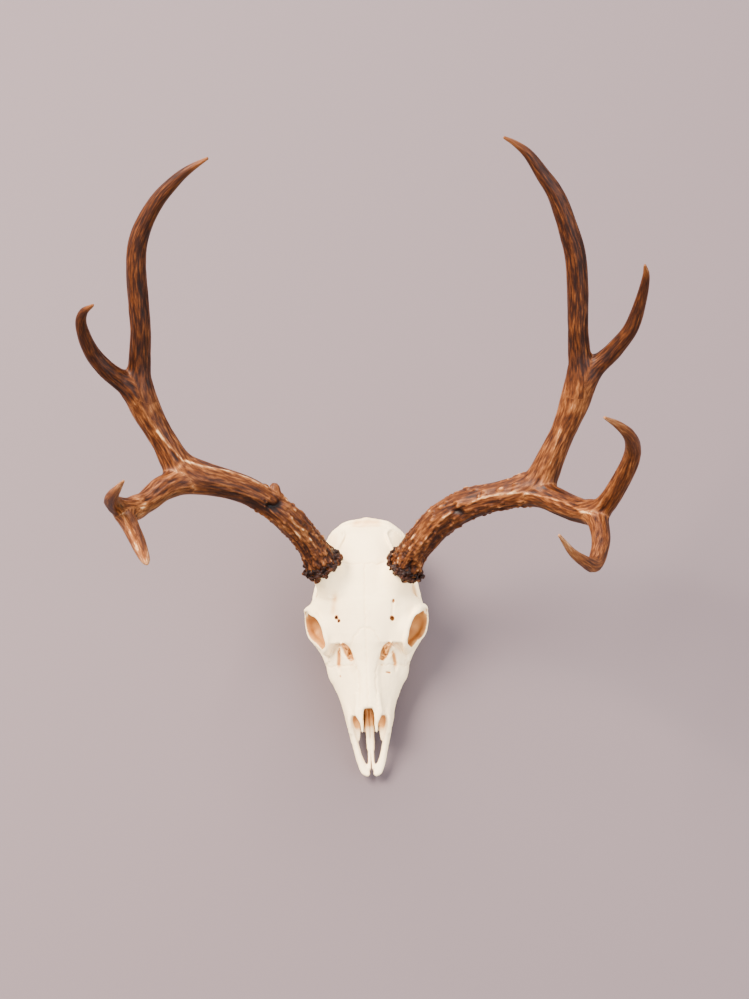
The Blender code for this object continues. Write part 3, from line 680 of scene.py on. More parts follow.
NOSE_PRONG = [
    (9, 76, 60, 3.6, 2.4), (9.6, 66, 57.5, 4, 2.4), (10.2, 58, 55.2, 4.8, 2.2), (9, 53, 53.2, 3.6, 2),
    (7.7, 48, 51, 2.2, 1.8), (7.5, 43, 48.6, 1.7, 1.5), (7.6, 38, 46.2, 0.9, 1),
]
NOSE_RIM = [
    (20.3, 44, 30, 2, 3.5), (21, 51, 37, 2.3, 5), (20.8, 57, 41.5, 3, 5.5), (19, 66, 43, 3, 5),
]
NOSE_SHELF = [
    (14.5, 38, 21.5, 3, 2), (14.5, 47, 27, 4.4, 2), (14.5, 54, 34, 5, 2), (13.5, 61, 42, 5, 2.4),
]
SCROLL_BONES = [
    [(1.7, 30, 16, 1.4, 2), (2, 40, 20.5, 1.9, 2.6), (2.1, 49, 29, 2.4, 4), (2.2, 57, 38, 2.5, 6),
     (2.4, 70, 47, 2.7, 8), (2.8, 95, 53, 2.9, 8)],
    [(8.6, 51, 31, 0.8, 1), (8.8, 57, 36, 2.2, 5), (9.4, 70, 44, 2.4, 8), (10, 95, 50, 2.4, 8)],
]
PALATE_ROD = [
    (2, 8, 14.5, 1.7, 2.4), (1.5, 28, 15.5, 1.6, 2.6), (1.7, 48, 16.5, 2, 3), (2, 66, 17, 3, 3),
]
NOSE_WALL = [(0, 54, 20, 1.6, 6), (0, 80, 24, 1.6, 9), (0, 130, 32, 1.6, 11)]
TEMPLE_RIDGE = [
    (44, 200, 94, 1.3, 1.3), (40, 208, 96.5, 1.3, 1.3), (32.5, 220, 101, 1.3, 1.3),
    (25.5, 234, 104, 1.2, 1.2), (23, 246, 97.5, 1.2, 1.2), (27, 257, 82, 1.6, 1.6),
]
GAP_FLOOR = [
    (28, 126, 72, 4, 1.6), (23, 121, 67, 6, 1.6), (18, 115, 64, 6, 1.6), (14, 109, 62, 4, 1.6),
]
SHREDS = [
    [(27, 127, 82, 1.1, 1.1), (23.5, 122, 75, 1.2, 1.2), (19, 118, 69, 1.4, 1.4)],
    [(20, 127, 81, 1.0, 1.0), (19.5, 121.5, 75, 1.0, 1.0), (21.5, 117, 70, 1.1, 1.1)],
    [(15, 116, 72, 1.1, 1.1), (18, 115.5, 70, 1.0, 1.0), (21, 114, 67, 1.2, 1.2)],
    [(24, 124, 78, 1.0, 1.0), (21.5, 123.5, 77, 0.9, 0.9), (19.7, 122, 75.5, 1.0, 1.0)],
]
THIN_BARS = [
    (CHEEK_ARCH, 2.5), (EYE_FLOOR, 2), (BEHIND_PALATE, 2), (NOSE_PRONG, 2), (NOSE_RIM, 2.5),
    (NOSE_SHELF, 2), (SCROLL_BONES[0], 0.5), (SCROLL_BONES[1], 0.5), (TEMPLE_RIDGE, 1.5),
]
NOSE_WALL_REACH = 1.5

one_side = distance_to(bar_skin(EYE_RIM, closed=True), skull_grid)
for bar, reach in THIN_BARS:
    one_side = melt(one_side, distance_to(bar_skin(bar), skull_grid), reach)
whole = melt(whole, np.minimum(one_side, one_side[::-1]), SIDES_REACH)
for bars, reach in (([PALATE_ROD], 4.0), ([GAP_FLOOR], SHRED_REACH), (SHREDS, SHRED_REACH)):
    whole = melt(whole, both_sides(bars), reach)
whole = melt(whole, distance_to(bar_skin(NOSE_WALL), skull_grid), NOSE_WALL_REACH)
print("bone with its thin parts:", bone_volume(whole), "cm3")

# %% [markdown]
# Nerves and blood vessels leave the skull through small round holes. The ones above the eyes
# differ from side to side, as in the photograph, so this table has the true x of each hole
# instead of one side to mirror.

# %% Holes for vessels: x, s, z, then radii across, along and up
VESSEL_HOLES = [
    ((-30.9, 151.1, 93), (1.7, 1.9, 6)), ((-28.2, 147.3, 93), (1.5, 1.5, 5)),
    ((28.4, 148.7, 93), (2.3, 2.3, 6)), ((30.2, 165.5, 100.5), (1.1, 1.5, 3)),
    ((-30.5, 99.3, 54), (2, 1.6, 1.8)), ((18.7, 98.3, 65.5), (1.8, 0.9, 2.4)),
    ((33, 88, 30), (6, 3, 3)), ((-33, 88, 30), (6, 3, 3)),
    ((48, 133, 79), (2, 2, 1.8)), ((-48, 133, 79), (2, 2, 1.8)),
    ((12, 130, 14.5), (1.6, 2.6, 3)), ((-12, 130, 14.5), (1.6, 2.6, 3)),
    ((17, 252, 36), (2.6, 3.4, 4)), ((-17, 252, 36), (2.6, 3.4, 4)),
    ((50, 234.5, 53), (6, 2.6, 2.6)), ((-50, 234.5, 53), (6, 2.6, 2.6)),
]
HOLE_REACH = 0.8
FAR_OFF = 99.0

vessel_hollow = np.full(skull_grid.shape, FAR_OFF, np.float32)
for centre, radii in VESSEL_HOLES:
    vessel_hollow = np.minimum(vessel_hollow, ball(centre, radii, skull_grid))
whole = carve(whole, vessel_hollow, HOLE_REACH)
print("holes for vessels:", len(VESSEL_HOLES))

# %% [markdown]
# Three things meet the bone along flat faces: the table, the crowns of the teeth and the burrs.
# A field is cut flat by taking the larger of its number and the distance to the plane.

# %% Flat cuts: the table, the tooth beds and the tops of the pedicles
# For each tooth: how far out its middle stands, its length and its width.
TEETH = {
    "premolar_1": (22.5, 10.5, 9.5), "premolar_2": (24.5, 11, 12), "premolar_3": (26.5, 11, 13.5),
    "molar_1": (28.5, 14, 15), "molar_2": (30, 15.5, 16), "molar_3": (30.5, 15.5, 15),
}
FIRST_TOOTH_S = 86.0
TOOTH_CROWN = 10.0
BED_GAP = 0.3
BED_INSIDE = 12.0
BED_FRONT_S = 78.0
BED_BACK_S = 182.0

x, s, z = axes_of(skull_grid)
whole = np.maximum(whole, -z)
bed = np.maximum(BED_INSIDE - np.abs(x), BED_FRONT_S - s)
bed = np.maximum(bed, s - BED_BACK_S)
bed = np.maximum(bed, z - TOOTH_CROWN - BED_GAP)
whole = np.maximum(whole, -bed)
for antler in ANTLERS.values():
    top, way = burr_of(antler)
    top = unbent(top)
    above = (x - top[0]) * way[0] + (s - top[1]) * way[1] + (z - top[2]) * way[2]
    near = np.sqrt((x - top[0]) ** 2 + (s - top[1]) ** 2 + (z - top[2]) ** 2) - 2 * PEDICLE_RADIUS
    whole = np.maximum(whole, -np.maximum(-above - BED_GAP, near))
print("tooth beds start", TOOTH_CROWN + BED_GAP, "mm above the table")

# %% [markdown]
# The block of numbers now becomes a mesh, with four-sided faces where the number is zero. The
# cells after that have the helpers that every later piece needs. One reads a field at any point,
# one takes away faces where the surface is nearly flat, and one keeps marks at a mesh's points.
# The others say how far a point is from a line, which way it looks and what noise it has.

# %% From numbers to a mesh
def surface_of(field, grid):
    """The points and four-sided faces where the field is zero, in millimetres."""
    block = openvdb.FloatGrid(BAND * grid.grain)
    block.copyFromArray(np.ascontiguousarray(field, np.float32))
    points, quads = block.convertToQuads(isovalue=0.0)
    return points * grid.grain + grid.low, facing_out(points, quads)


def facing_out(points, faces):
    """The same faces, turned if they look inwards."""
    a, b, c = (points[faces[:, i]] for i in range(3))
    inwards = np.einsum("ij,ij->i", a, np.cross(b, c)).sum() < 0
    return faces[:, ::-1] if inwards else faces


points, faces = surface_of(whole, skull_grid)
print("skull surface:", len(points), "points")

# %% Helpers that make every piece
def sampled(field, grid, points):
    """The field's value at any points, blended from the eight around each."""
    at = (points - grid.low) / grid.grain
    base = np.clip(np.floor(at).astype(int), 0, np.array(grid.shape) - 2)
    share = at - base
    total = np.zeros(len(points))
    for corner in np.ndindex(2, 2, 2):
        weight = np.where(corner, share, 1 - share).prod(axis=1)
        total += weight * field[tuple((base + corner).T)]
    return total


def thinned(points, faces, most):
    """The same surface with at most this many triangles, kept where it curves most."""
    holder = put_in_scene("thinned", mesh_of("thinned", points.tolist(), faces.tolist()))
    modifier = holder.modifiers.new("thin out", "DECIMATE")
    modifier.ratio = most / (len(faces) * (faces.shape[1] - 2))
    modifier.use_collapse_triangulate = True
    graph = bpy.context.evaluated_depsgraph_get()
    fewer = holder.evaluated_get(graph).to_mesh()
    points = np.empty(len(fewer.vertices) * 3)
    fewer.vertices.foreach_get("co", points)
    corners = np.empty(len(fewer.polygons) * 3, int)
    fewer.polygons.foreach_get("vertices", corners)
    bpy.data.objects.remove(holder)
    return points.reshape(-1, 3), corners.reshape(-1, 3)


def new_piece(name, points, faces, marks=None):
    """A smooth object in the scene from points in metres, with numbers kept at its points."""
    mesh = mesh_of(name, points.tolist(), faces.tolist())
    mesh.shade_smooth()
    for mark, values in (marks or {}).items():
        is_vector = np.ndim(values) == 2
        layer = mesh.attributes.new(mark, "FLOAT_VECTOR" if is_vector else "FLOAT", "POINT")
        kept = np.ravel(values).astype(np.float32)
        layer.data.foreach_set("vector" if is_vector else "value", kept)
    piece = put_in_scene(name, mesh)
    print(name, "has", sum(len(p.vertices) - 2 for p in mesh.polygons), "triangles")
    return piece


def fade(values, nothing, full):
    """Runs smoothly from 0 to 1 as the values go from one number to the other."""
    share = np.clip((values - nothing) / (full - nothing), 0.0, 1.0)
    return share * share * (3 - 2 * share)


print("a fade from 0 to 4 has reached", fade(1.0, 0.0, 4.0), "at 1")

# %% Helpers that read a surface
# Where a point starts to count and where it counts fully: looking up or outwards, and its height.
LOOKS_UP = (0.3, 0.6)
LOOKS_OUT = (0.3, 0.5)
TOP_HEIGHTS = (52, 56)


def noise_at(points, size, shift=0.0):
    """Smooth noise from -1 to 1 whose lumps are about this many millimetres across."""
    spots = (points / size + shift).tolist()
    return np.array([noise.noise(spot) for spot in spots])


def off_line(flat, line):
    """How far flat points are from a line of short straight pieces."""
    nearest = np.full(len(flat), 1e9)
    for first, last in zip(np.array(line[:-1], float), np.array(line[1:], float)):
        run = last - first
        share = np.clip(((flat - first) @ run) / (run @ run), 0, 1)
        nearest = np.minimum(nearest, np.linalg.norm(flat - first - share[:, None] * run, axis=1))
    return nearest


def point_normals(points, faces):
    """The way out at every point, from the faces around it."""
    normals = np.zeros_like(points)
    first, second, third = (points[faces[:, i]] for i in range(3))
    square = np.cross(second - first, third - first)
    for corner in range(faces.shape[1]):
        np.add.at(normals, faces[:, corner], square)
    return normals / (np.linalg.norm(normals, axis=1)[:, None] + 1e-12)


def fits_top(points, normals):
    """One where a point looks upwards, away from the low parts of the skull."""
    return fade(normals[:, 2], *LOOKS_UP) * fade(points[:, 2], *TOP_HEIGHTS)


def fits_side(points, normals):
    """One where a point looks outwards."""
    outwards = np.sign(points[:, 0]) * normals[:, 0]
    return fade(outwards, *LOOKS_OUT)


normals = point_normals(points, faces)
print("points that look up:", int((normals[:, 2] > LOOKS_UP[1]).sum()))

# %% [markdown]
# The plates of a skull meet at sutures: fine zigzag seams. They are pressed into the surface as
# grooves nearly a millimetre deep. The seams on top are drawn as lines in x and s, the seams of
# the cheeks in s and z, and a wandering noise bends each line into its zigzag.

# %% Seams between the bones
SEAM_DEPTH = 0.8
SEAM_WIDTH = 0.95
SEAM_WANDER = 1.5
SEAM_WAVE = 4.0
TOP_SEAMS = [
    [(0, 60), (0, 139)], [(0, 139), (0, 204)],
    [(18, 119), (13, 130), (6, 137), (0, 139), (-6, 137), (-13, 130), (-18, 119)],
    [(9.5, 62), (9, 80), (9.5, 97), (14, 112)], [(-9.5, 62), (-9, 80), (-9.5, 97), (-14, 112)],
    [(42, 226), (30, 210), (14, 203), (0, 204), (-14, 203), (-30, 210), (-42, 226)],
    [(38, 251), (22, 257), (8, 260), (0, 261), (-8, 260), (-22, 257), (-38, 251)],
]
SIDE_SEAMS = [
    [(60, 50), (54, 37), (50, 24), (52, 12)], [(106, 68), (110, 56), (112, 46), (120, 38), (132, 34)],
    [(112, 46), (122, 52), (130, 52)], [(182, 56), (190, 52), (198, 49)],
    [(214, 62), (226, 74), (244, 78), (258, 70)],
]


def seams_at(points, normals):
    """From 0 to 1, how deep in a seam each point lies."""
    wander = [noise_at(points, SEAM_WAVE, shift) for shift in (11.3, 47.9)]
    wander = np.stack(wander, axis=-1) * SEAM_WANDER
    seam = np.zeros(len(points))
    for lines, first, fits in ((TOP_SEAMS, 0, fits_top), (SIDE_SEAMS, 1, fits_side)):
        for line in lines:
            far = off_line(points[:, first:first + 2] + wander, line)
            seam = np.maximum(seam, fits(points, normals) * np.exp(-(far / SEAM_WIDTH) ** 2))
    return seam


seam_press = SEAM_DEPTH * seams_at(points, normals)
print("points in a seam:", int((seam_press > SEAM_DEPTH / 2).sum()))

# %% [markdown]
# Above the eyes and before them the face has dents, where vessels lay on the bone. Each is a
# line in x and s that is pressed in from above and tints the bone a little tan, partly stain and
# partly painted shade in the dent. Bone is never quite even either, so three sizes of smooth
# noise swell it by a fraction of a millimetre.

# %% Dents and unevenness
# For each dent: its line, its half-width, its depth and how tan it is, stain and painted shade.
DENTS = [
    ([(-29.5, 123), (-30.5, 113), (-31.5, 104)], 2.4, 3.0, 0.5),
    ([(28.5, 119), (30, 112), (32, 104)], 2.4, 2.8, 0.46),
    ([(-32, 171), (-34, 163), (-35, 156)], 4.2, 1.8, 0.24),
    ([(-32, 155), (-30, 150)], 3.6, 0.8, 0.14),
    ([(29.8, 165), (28.4, 150)], 1.4, 0.8, 0.2),
    ([(36, 160), (33, 148)], 5.0, 0.5, 0.1),
    ([(-17, 113), (-15, 100)], 3.6, 0.8, 0.16), ([(17, 113), (15, 100)], 3.6, 0.8, 0.15),
    ([(20.5, 100), (24, 100.4)], 0.9, 0.8, 0.9),
]
# For each size of unevenness: its height, how wide its lumps are, and where its noise starts.
UNEVENNESS = [(0.5, 17.0, 3.0), (0.2, 5.0, 9.0), (0.12, 2.4, 5.0)]


def dents_at(points, normals):
    """How far each point is pressed in, in millimetres, and how tan it is, stain and painted shade."""
    pressed, tan = np.zeros(len(points)), np.zeros(len(points))
    upwards = fits_top(points, normals)
    for line, half_width, depth, shade in DENTS:
        share = upwards * np.exp(-(off_line(points[:, :2], line) / half_width) ** 2)
        pressed += depth * share
        tan = np.maximum(tan, shade * share)
    return pressed, tan


pressed = dents_at(points, normals)[0] + seam_press
swell = sum(height * noise_at(points, size, shift) for height, size, shift in UNEVENNESS)
print("deepest dent:", round(pressed.max(), 2), "mm")

# %% Swellings over the roots of the teeth
ROOT_SWELL = 0.9
ROOT_WIDTH = 2.4
ROOT_PLACES = (0.27, 0.76)
ROOT_REACH = (12.0, 25.0)
BETWEEN_ROOTS = 0.4
BEFORE_ROOTS = 4.0

front, roots = FIRST_TOOTH_S, []
for _, length, _ in TEETH.values():
    roots += [front + place * length for place in ROOT_PLACES]
    front += length
off_root = np.abs(points[:, 1][:, None] - np.array(roots)[None]).min(axis=1)
at_root = np.exp(-(off_root / ROOT_WIDTH) ** 2)
on_bed = fade(points[:, 2], ROOT_REACH[1], ROOT_REACH[0]) * fits_side(points, normals)
behind_front = fade(points[:, 1], FIRST_TOOTH_S - BEFORE_ROOTS, FIRST_TOOTH_S)
swell += on_bed * (ROOT_SWELL * at_root - BETWEEN_ROOTS * ROOT_SWELL) * behind_front
print("roots on each side:", len(roots))

# %% Press and swell the surface, then thin it out
SKULL_TRIANGLES = 190_000

points = points + normals * (swell - pressed)[:, None]
points[:, 2] = np.maximum(points[:, 2], 0.0)
points, faces = thinned(points, faces, SKULL_TRIANGLES)
normals = point_normals(points, faces)
print("the thinned skull has", len(faces), "triangles")

# %% [markdown]
# The hollows are tan to dark brown: the eye sockets, the nose, the gaps in the face, the brain
# chamber and the holes for vessels. In the sockets, the nose and the gaps this is partly stain
# that bleach doesn't reach and partly painted shade; in the brain chamber and the holes it is
# painted shade. Sheltered bone is a little warm too: stain at the back of the crown and in the
# seams, stain and painted shade in the temples, and painted shade wherever bone stands close in
# front. Each point of the mesh keeps one number for that, from white to brown.

# %% Mark where the bone is stained and where shade is painted, then bend the midline
EYE_STAIN_AND_SHADE = ((44, 152, 66), (32, 31, 28))
# Where the stain and painted shade of the eye sockets and the nose start and where they are full.
EYE_STAIN_AND_SHADE_EDGE = (1.25, 0.9)
FACES_EYE = (-0.1, 0.5)
NOSE_STAIN_AND_SHADE_S = (36, 60)
# For each patch of sheltered bone: the middle, the radii, and how tan it is. The temples' tan is
# partly stain and partly painted shade.
CREST_STAIN = ((1, 262, 87), (22, 13, 12), 0.25)
TEMPLE_STAIN_AND_SHADE = ((40, 238, 84), (15, 26, 26), 0.2)
BEHIND_EYE_STAIN = ((45, 188, 78), (13, 28, 20), 0.3)
# Where a patch's tan starts and where it is full, from 1 at its surface to 0 in its middle.
PATCH_EDGE = (1.0, 0.4)
SEAM_TAN = 0.2
# Painted shade: how tan the bone is painted where other bone stands close in front of it.
RECESS_SHADE = 0.34
RECESS_POWER = 1.5
RECESS_DEPTH = 5.0
# For each hollow: the millimetres from it where its tint starts and where it is full, and how
# dark. Sockets, nose and gaps are stain and painted shade; brain chamber and holes painted shade.
HOLLOW_STAINS_AND_SHADE = [
    (eye_hollow, 7.6, 4.0, 0.6), (nose_hollow, 2.2, 0.3, 0.68), (gap_hollow, 2.0, 0.2, 0.55),
    (brain_hollow, 2.2, 0.5, 0.7), (vessel_hollow, 0.8, -0.2, 1.0),
]
BLOTCH_SIZE = 7.0
BLOTCH_CONTRAST = 0.25


def in_egg(centre, radii, tan, points):
    """This tan inside most of an egg shape, fading to nothing at its surface."""
    return tan * fade((((points - centre) / radii) ** 2).sum(axis=1), *PATCH_EDGE)


folded, folded_normals = points.copy(), normals.copy()
folded[:, 0] = np.abs(points[:, 0])
folded_normals[:, 0] *= np.sign(points[:, 0])
to_eye = EYE_STAIN_AND_SHADE[0] - folded
faces_in = (folded_normals * to_eye).sum(axis=1) / np.linalg.norm(to_eye, axis=1)
in_eye = fade(((to_eye / EYE_STAIN_AND_SHADE[1]) ** 2).sum(axis=1), *EYE_STAIN_AND_SHADE_EDGE)
in_eye = in_eye * fade(faces_in, *FACES_EYE)
in_nose = fade(points[:, 1], *NOSE_STAIN_AND_SHADE_S)
# Stain and painted shade: the socket where it faces its own middle, the nose from a little way in.
shares = [in_eye, in_nose, 1.0, 1.0, 1.0]
# The hollows' tint, stain and painted shade together, darkest in the holes.
deep = np.zeros(len(points))
for (hollow, start, full, dark), share in zip(HOLLOW_STAINS_AND_SHADE, shares):
    deep = np.maximum(deep, dark * share * fade(sampled(hollow, skull_grid, points), start, full))
# Painted shade: bone is tinted where little free room lies in front of its surface.
free_way = sampled(whole, skull_grid, points + RECESS_DEPTH * normals)
recess_shade = np.clip(1 - free_way / np.median(free_way), 0, 1)
light = np.maximum.reduce([
    in_egg(*CREST_STAIN, points), in_egg(*TEMPLE_STAIN_AND_SHADE, folded), in_egg(*BEHIND_EYE_STAIN, folded),
    SEAM_TAN * seams_at(points, normals), RECESS_SHADE * recess_shade**RECESS_POWER,
])
blotches = 1 + BLOTCH_CONTRAST * noise_at(points, BLOTCH_SIZE, 21.0)
# The mark is real stain and painted shade in one number.
stain_and_shade = np.clip(np.maximum(deep, light + dents_at(points, normals)[1]) * blotches, 0, 1)
print("stained share:", round(float((stain_and_shade > 0.3).mean()), 3))
points[:, 0] -= bow(points[:, 1])
skull = new_piece("cranium", placed(points), faces, {"stain_and_shade": stain_and_shade})

# %% [markdown]
# ## Bleached bone
# Dry bone is matt, slightly warm white and full of fine pores. Where it was thin or held fat it
# stays tan to orange, and hollows and recesses are darkened more as painted shade. The colour is
# mixed from three things: a slow drift over centimetres, the marks kept at the points, which hold
# stain and painted shade, and pores of about half a millimetre, drawn at 1.5 mm to show.

# %% The bone material
BONE_WHITE = "#FFE3AF"
BONE_WARM = "#F2D2A0"
BONE_TAN = "#C98B45"
BONE_ORANGE = "#8A4716"
# The darkest brown is painted shade, reached in the holes for vessels.
HOLE_SHADE_BROWN = "#2E1E14"
TAN_AT = 0.4
ORANGE_AT = 0.8
STAIN_AND_SHADE_COVER = 2.5
BONE_ROUGHNESS = 0.62
BONE_IOR = 1.5
BONE_SPECULAR = 0.25
DRIFT_SIZE = 28.0
PORE_SIZE = 1.5
PORE_DEPTH = 0.3
PORE_STRENGTH = 0.5
DRIFT_DETAIL = 3.0
PORE_DETAIL = 2.0
# A colour mix has its two colours and its result at these places among its sockets.
MIX_FIRST, MIX_SECOND, MIX_RESULT = 6, 7, 2

bone, tree, shader = material_of("bleached bone", BONE_ROUGHNESS, BONE_IOR, BONE_SPECULAR)
place = add_node(tree, "ShaderNodeTexCoord")
in_mm = add_node(
    tree, "ShaderNodeVectorMath", {"operation": "SCALE"},
    {0: place.outputs["Object"], "Scale": 1 / MM},
)
drift = add_node(
    tree, "ShaderNodeTexNoise",
    inputs={"Vector": in_mm.outputs[0], "Scale": 1 / DRIFT_SIZE, "Detail": DRIFT_DETAIL},
)
pores = add_node(
    tree, "ShaderNodeTexNoise",
    inputs={"Vector": in_mm.outputs[0], "Scale": 1 / PORE_SIZE, "Detail": PORE_DETAIL},
)
warm = add_node(
    tree, "ShaderNodeMix", {"data_type": "RGBA"},
    {0: drift.outputs["Fac"], MIX_FIRST: linear(BONE_WHITE), MIX_SECOND: linear(BONE_WARM)},
)
mark = add_node(tree, "ShaderNodeAttribute", {"attribute_name": "stain_and_shade"})
shades = add_node(tree, "ShaderNodeValToRGB", inputs={0: mark.outputs["Fac"]})
shades.color_ramp.elements[0].color = linear(BONE_WHITE)
shades.color_ramp.elements[1].color = linear(HOLE_SHADE_BROWN)
shades.color_ramp.elements.new(TAN_AT).color = linear(BONE_TAN)
shades.color_ramp.elements.new(ORANGE_AT).color = linear(BONE_ORANGE)
shows = add_node(
    tree, "ShaderNodeMath", {"operation": "MULTIPLY", "use_clamp": True},
    {0: mark.outputs["Fac"], 1: STAIN_AND_SHADE_COVER},
)
mixed = add_node(
    tree, "ShaderNodeMix", {"data_type": "RGBA"},
    {0: shows.outputs[0], MIX_FIRST: warm.outputs[MIX_RESULT], MIX_SECOND: shades.outputs[0]},
)
bump = add_node(
    tree, "ShaderNodeBump",
    inputs={
        "Strength": PORE_STRENGTH, "Distance": PORE_DEPTH * MM, "Height": pores.outputs["Fac"],
    },
)
tree.links.new(mixed.outputs[MIX_RESULT], shader.inputs["Base Color"])
tree.links.new(bump.outputs[0], shader.inputs["Normal"])
skull.data.materials.append(bone)
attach(skull, "root")
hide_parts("skull")
print("bone's nodes:", len(tree.nodes))

# %% [markdown]
# ## Antlers
# An antler is bone too, grown as one piece, so each side is one mesh. Tubes along its lengths
# are welded into a rough skin. Every point of that skin is then moved onto the smooth surface
# that melts the lengths together at the forks. Grooves left by blood vessels run lengthwise,
# so each point also keeps how far along the antler it is and on which side.

# %% The rough skin of an antler
ANTLER_GRAIN = 1.07
ANTLER_STEP = 1.5
ANTLER_SIDES = 24
ANTLER_BAND = 3.0
KNOB = [
    (278, 503, 58, 7), (275, 493, 58, 6.4), (274.6, 488.5, 58, 5.8), (274.6, 485, 58, 4.4),
    (274.8, 483, 58, 2),
]
KNOBS = {"left": {}, "right": {"knob": KNOB}}
Curve = namedtuple("Curve", "middle radius ways across rise along")


def antler_curves(antler):
    """For each length of an antler: its middle, radius, three directions and distance along."""
    curves = {}
    for name, stretch in antler.items():
        rows = smooth_rows([(*seen(*row[:3]), row[3]) for row in stretch], ANTLER_STEP)
        ways, across, rise = turned_along(rows[:, :3])
        steps = np.linalg.norm(np.diff(rows[:, :3], axis=0), axis=1)
        along = np.concatenate([[0.0], np.cumsum(steps)])
        curves[name] = Curve(rows[:, :3], rows[:, 3], ways, across, rise, along)
    return curves


def rough_skin(curves):
    """One skin round all the lengths of an antler, with a sharp corner at each fork."""
    points, triangles, quads, count = [], [], [], 0
    turn = np.linspace(0, 2 * math.pi, ANTLER_SIDES, endpoint=False)[None, :, None]
    for curve in curves.values():
        spokes = curve.across[:, None] * np.cos(turn) + curve.rise[:, None] * np.sin(turn)
        more = skin_of_rings(curve.middle[:, None] + curve.radius[:, None, None] * spokes)
        points.append(more[0])
        triangles.append(more[1] + count)
        quads.append(more[2] + count)
        count += len(more[0])
    points = np.vstack(points) / ANTLER_GRAIN
    level_set = level_set_of(points, np.vstack(triangles), np.vstack(quads), ANTLER_BAND)
    points, quads = level_set.convertToQuads(isovalue=0.0)
    points = points * ANTLER_GRAIN
    return points, facing_out(points, quads)


beam_lengths = [round(antler_curves(antler)["beam"].along[-1]) for antler in ANTLERS.values()]
print("the left and right beams are", beam_lengths, "mm long")

# %% An antler's own way round, and its melted surface
FORK_REACH = 9.0
KNOB_REACH = 2.5


def near_curve(curve, points):
    """Distance to one length's surface, the way out, distance along it and the angle round it."""
    middle, radius, ways, across, rise, along = curve
    gaps = (points**2).sum(1)[:, None] - 2 * points @ middle.T + (middle**2).sum(1)[None]
    nearest = gaps.argmin(axis=1)
    step = along[-1] / (len(along) - 1)
    slide = np.einsum("ij,ij->i", points - middle[nearest], ways[nearest]) / step
    at = np.clip(nearest + np.clip(slide, -1, 1), 0, len(along) - 1)
    low = np.minimum(at.astype(int), len(along) - 2)
    share = (at - low)[:, None]
    centre = middle[low] * (1 - share) + middle[low + 1] * share
    size = radius[low] * (1 - share[:, 0]) + radius[low + 1] * share[:, 0]
    out = points - centre
    far = np.linalg.norm(out, axis=1)
    upwards = np.einsum("ij,ij->i", out, rise[nearest])
    sideways = np.einsum("ij,ij->i", out, across[nearest])
    turn = np.arctan2(upwards, sideways)
    travelled = along[low] * (1 - share[:, 0]) + along[low + 1] * share[:, 0]
    return far - size, out / far[:, None], travelled, turn, size


def on_melted_surface(curves, points):
    """Moves points onto the surface that melts the lengths together, and says the way out."""
    gap, way = None, None
    for name, curve in curves.items():
        distance, out, *_ = near_curve(curve, points)
        if gap is None:
            gap, way = distance, out
            continue
        reach = KNOB_REACH if name == "knob" else FORK_REACH
        share = np.clip(0.5 + 0.5 * (distance - gap) / reach, 0, 1)
        way = out * (1 - share[:, None]) + way * share[:, None]
        gap = distance * (1 - share) + gap * share - reach * share * (1 - share)
    way /= np.linalg.norm(way, axis=1)[:, None]
    return points - way * gap[:, None], way


print("fork reach:", FORK_REACH, "mm")

# %% [markdown]
# ## What makes an antler rough
# Four kinds of relief are added to the smooth surface. Grooves run lengthwise all over it and
# fade towards the polished tips. Pearls are hard beads, thick on the lower beam. A crust of
# small lumps covers the first stretch above the burr. A few crests and pits are read from the
# photograph, as lines of pixels on the side that faces the lens. Each also says how pale it is:
# the pale crests are partly wear and partly a painted highlight, and the darker lines are
# painted shade, in the pits and in a few flat bands.

# %% Grooves
GROOVE_WIDTH = 4.5
GROOVE_LENGTH = 42.0
GROOVE_DEPTH = 0.75
RIDGE_LEVEL = 0.5
RIDGE_SHARPNESS = 2.0
FINE_RIDGE_SHARE = 0.5
FINER_BY = 2.3
USUAL_RADIUS = 11.0


def grooved(travelled, turn, seed):
    """Lengthwise ridges from about -1 to 1, finer across than along."""
    across = np.cos(turn) * USUAL_RADIUS / GROOVE_WIDTH, np.sin(turn) * USUAL_RADIUS / GROOVE_WIDTH
    spots = np.stack([*across, travelled / GROOVE_LENGTH + seed], axis=-1)
    ridges = RIDGE_LEVEL - RIDGE_SHARPNESS * np.abs(noise_at(spots, 1.0))
    return ridges + FINE_RIDGE_SHARE * noise_at(spots, 1 / FINER_BY)


print("grooves", GROOVE_WIDTH, "mm apart and", GROOVE_DEPTH, "mm deep")

# %% Pearls on the beam
# For each antler: how many pearls, how far along the beam, and how high for their width.
PEARLS = {
    "left": {"count": 300, "reach": 190.0, "height": 0.95},
    "right": {"count": 190, "reach": 118.0, "height": 0.85},
}
PEARL_RADIUS = (1.2, 2.3)
PEARL_STRETCH = (1.0, 2.2)
PEARL_TALLNESS = (0.5, 1.0)
PEARL_ROUNDNESS = 0.7
PEARL_TOP = (0.3, 0.9)
FIRST_PEARL = 4.0
# Powers of a random share: one crowds the pearls at the burr, the other leaves few of them pale.
CROWDING = 1.5
PALE_PEARL_RARITY = 3


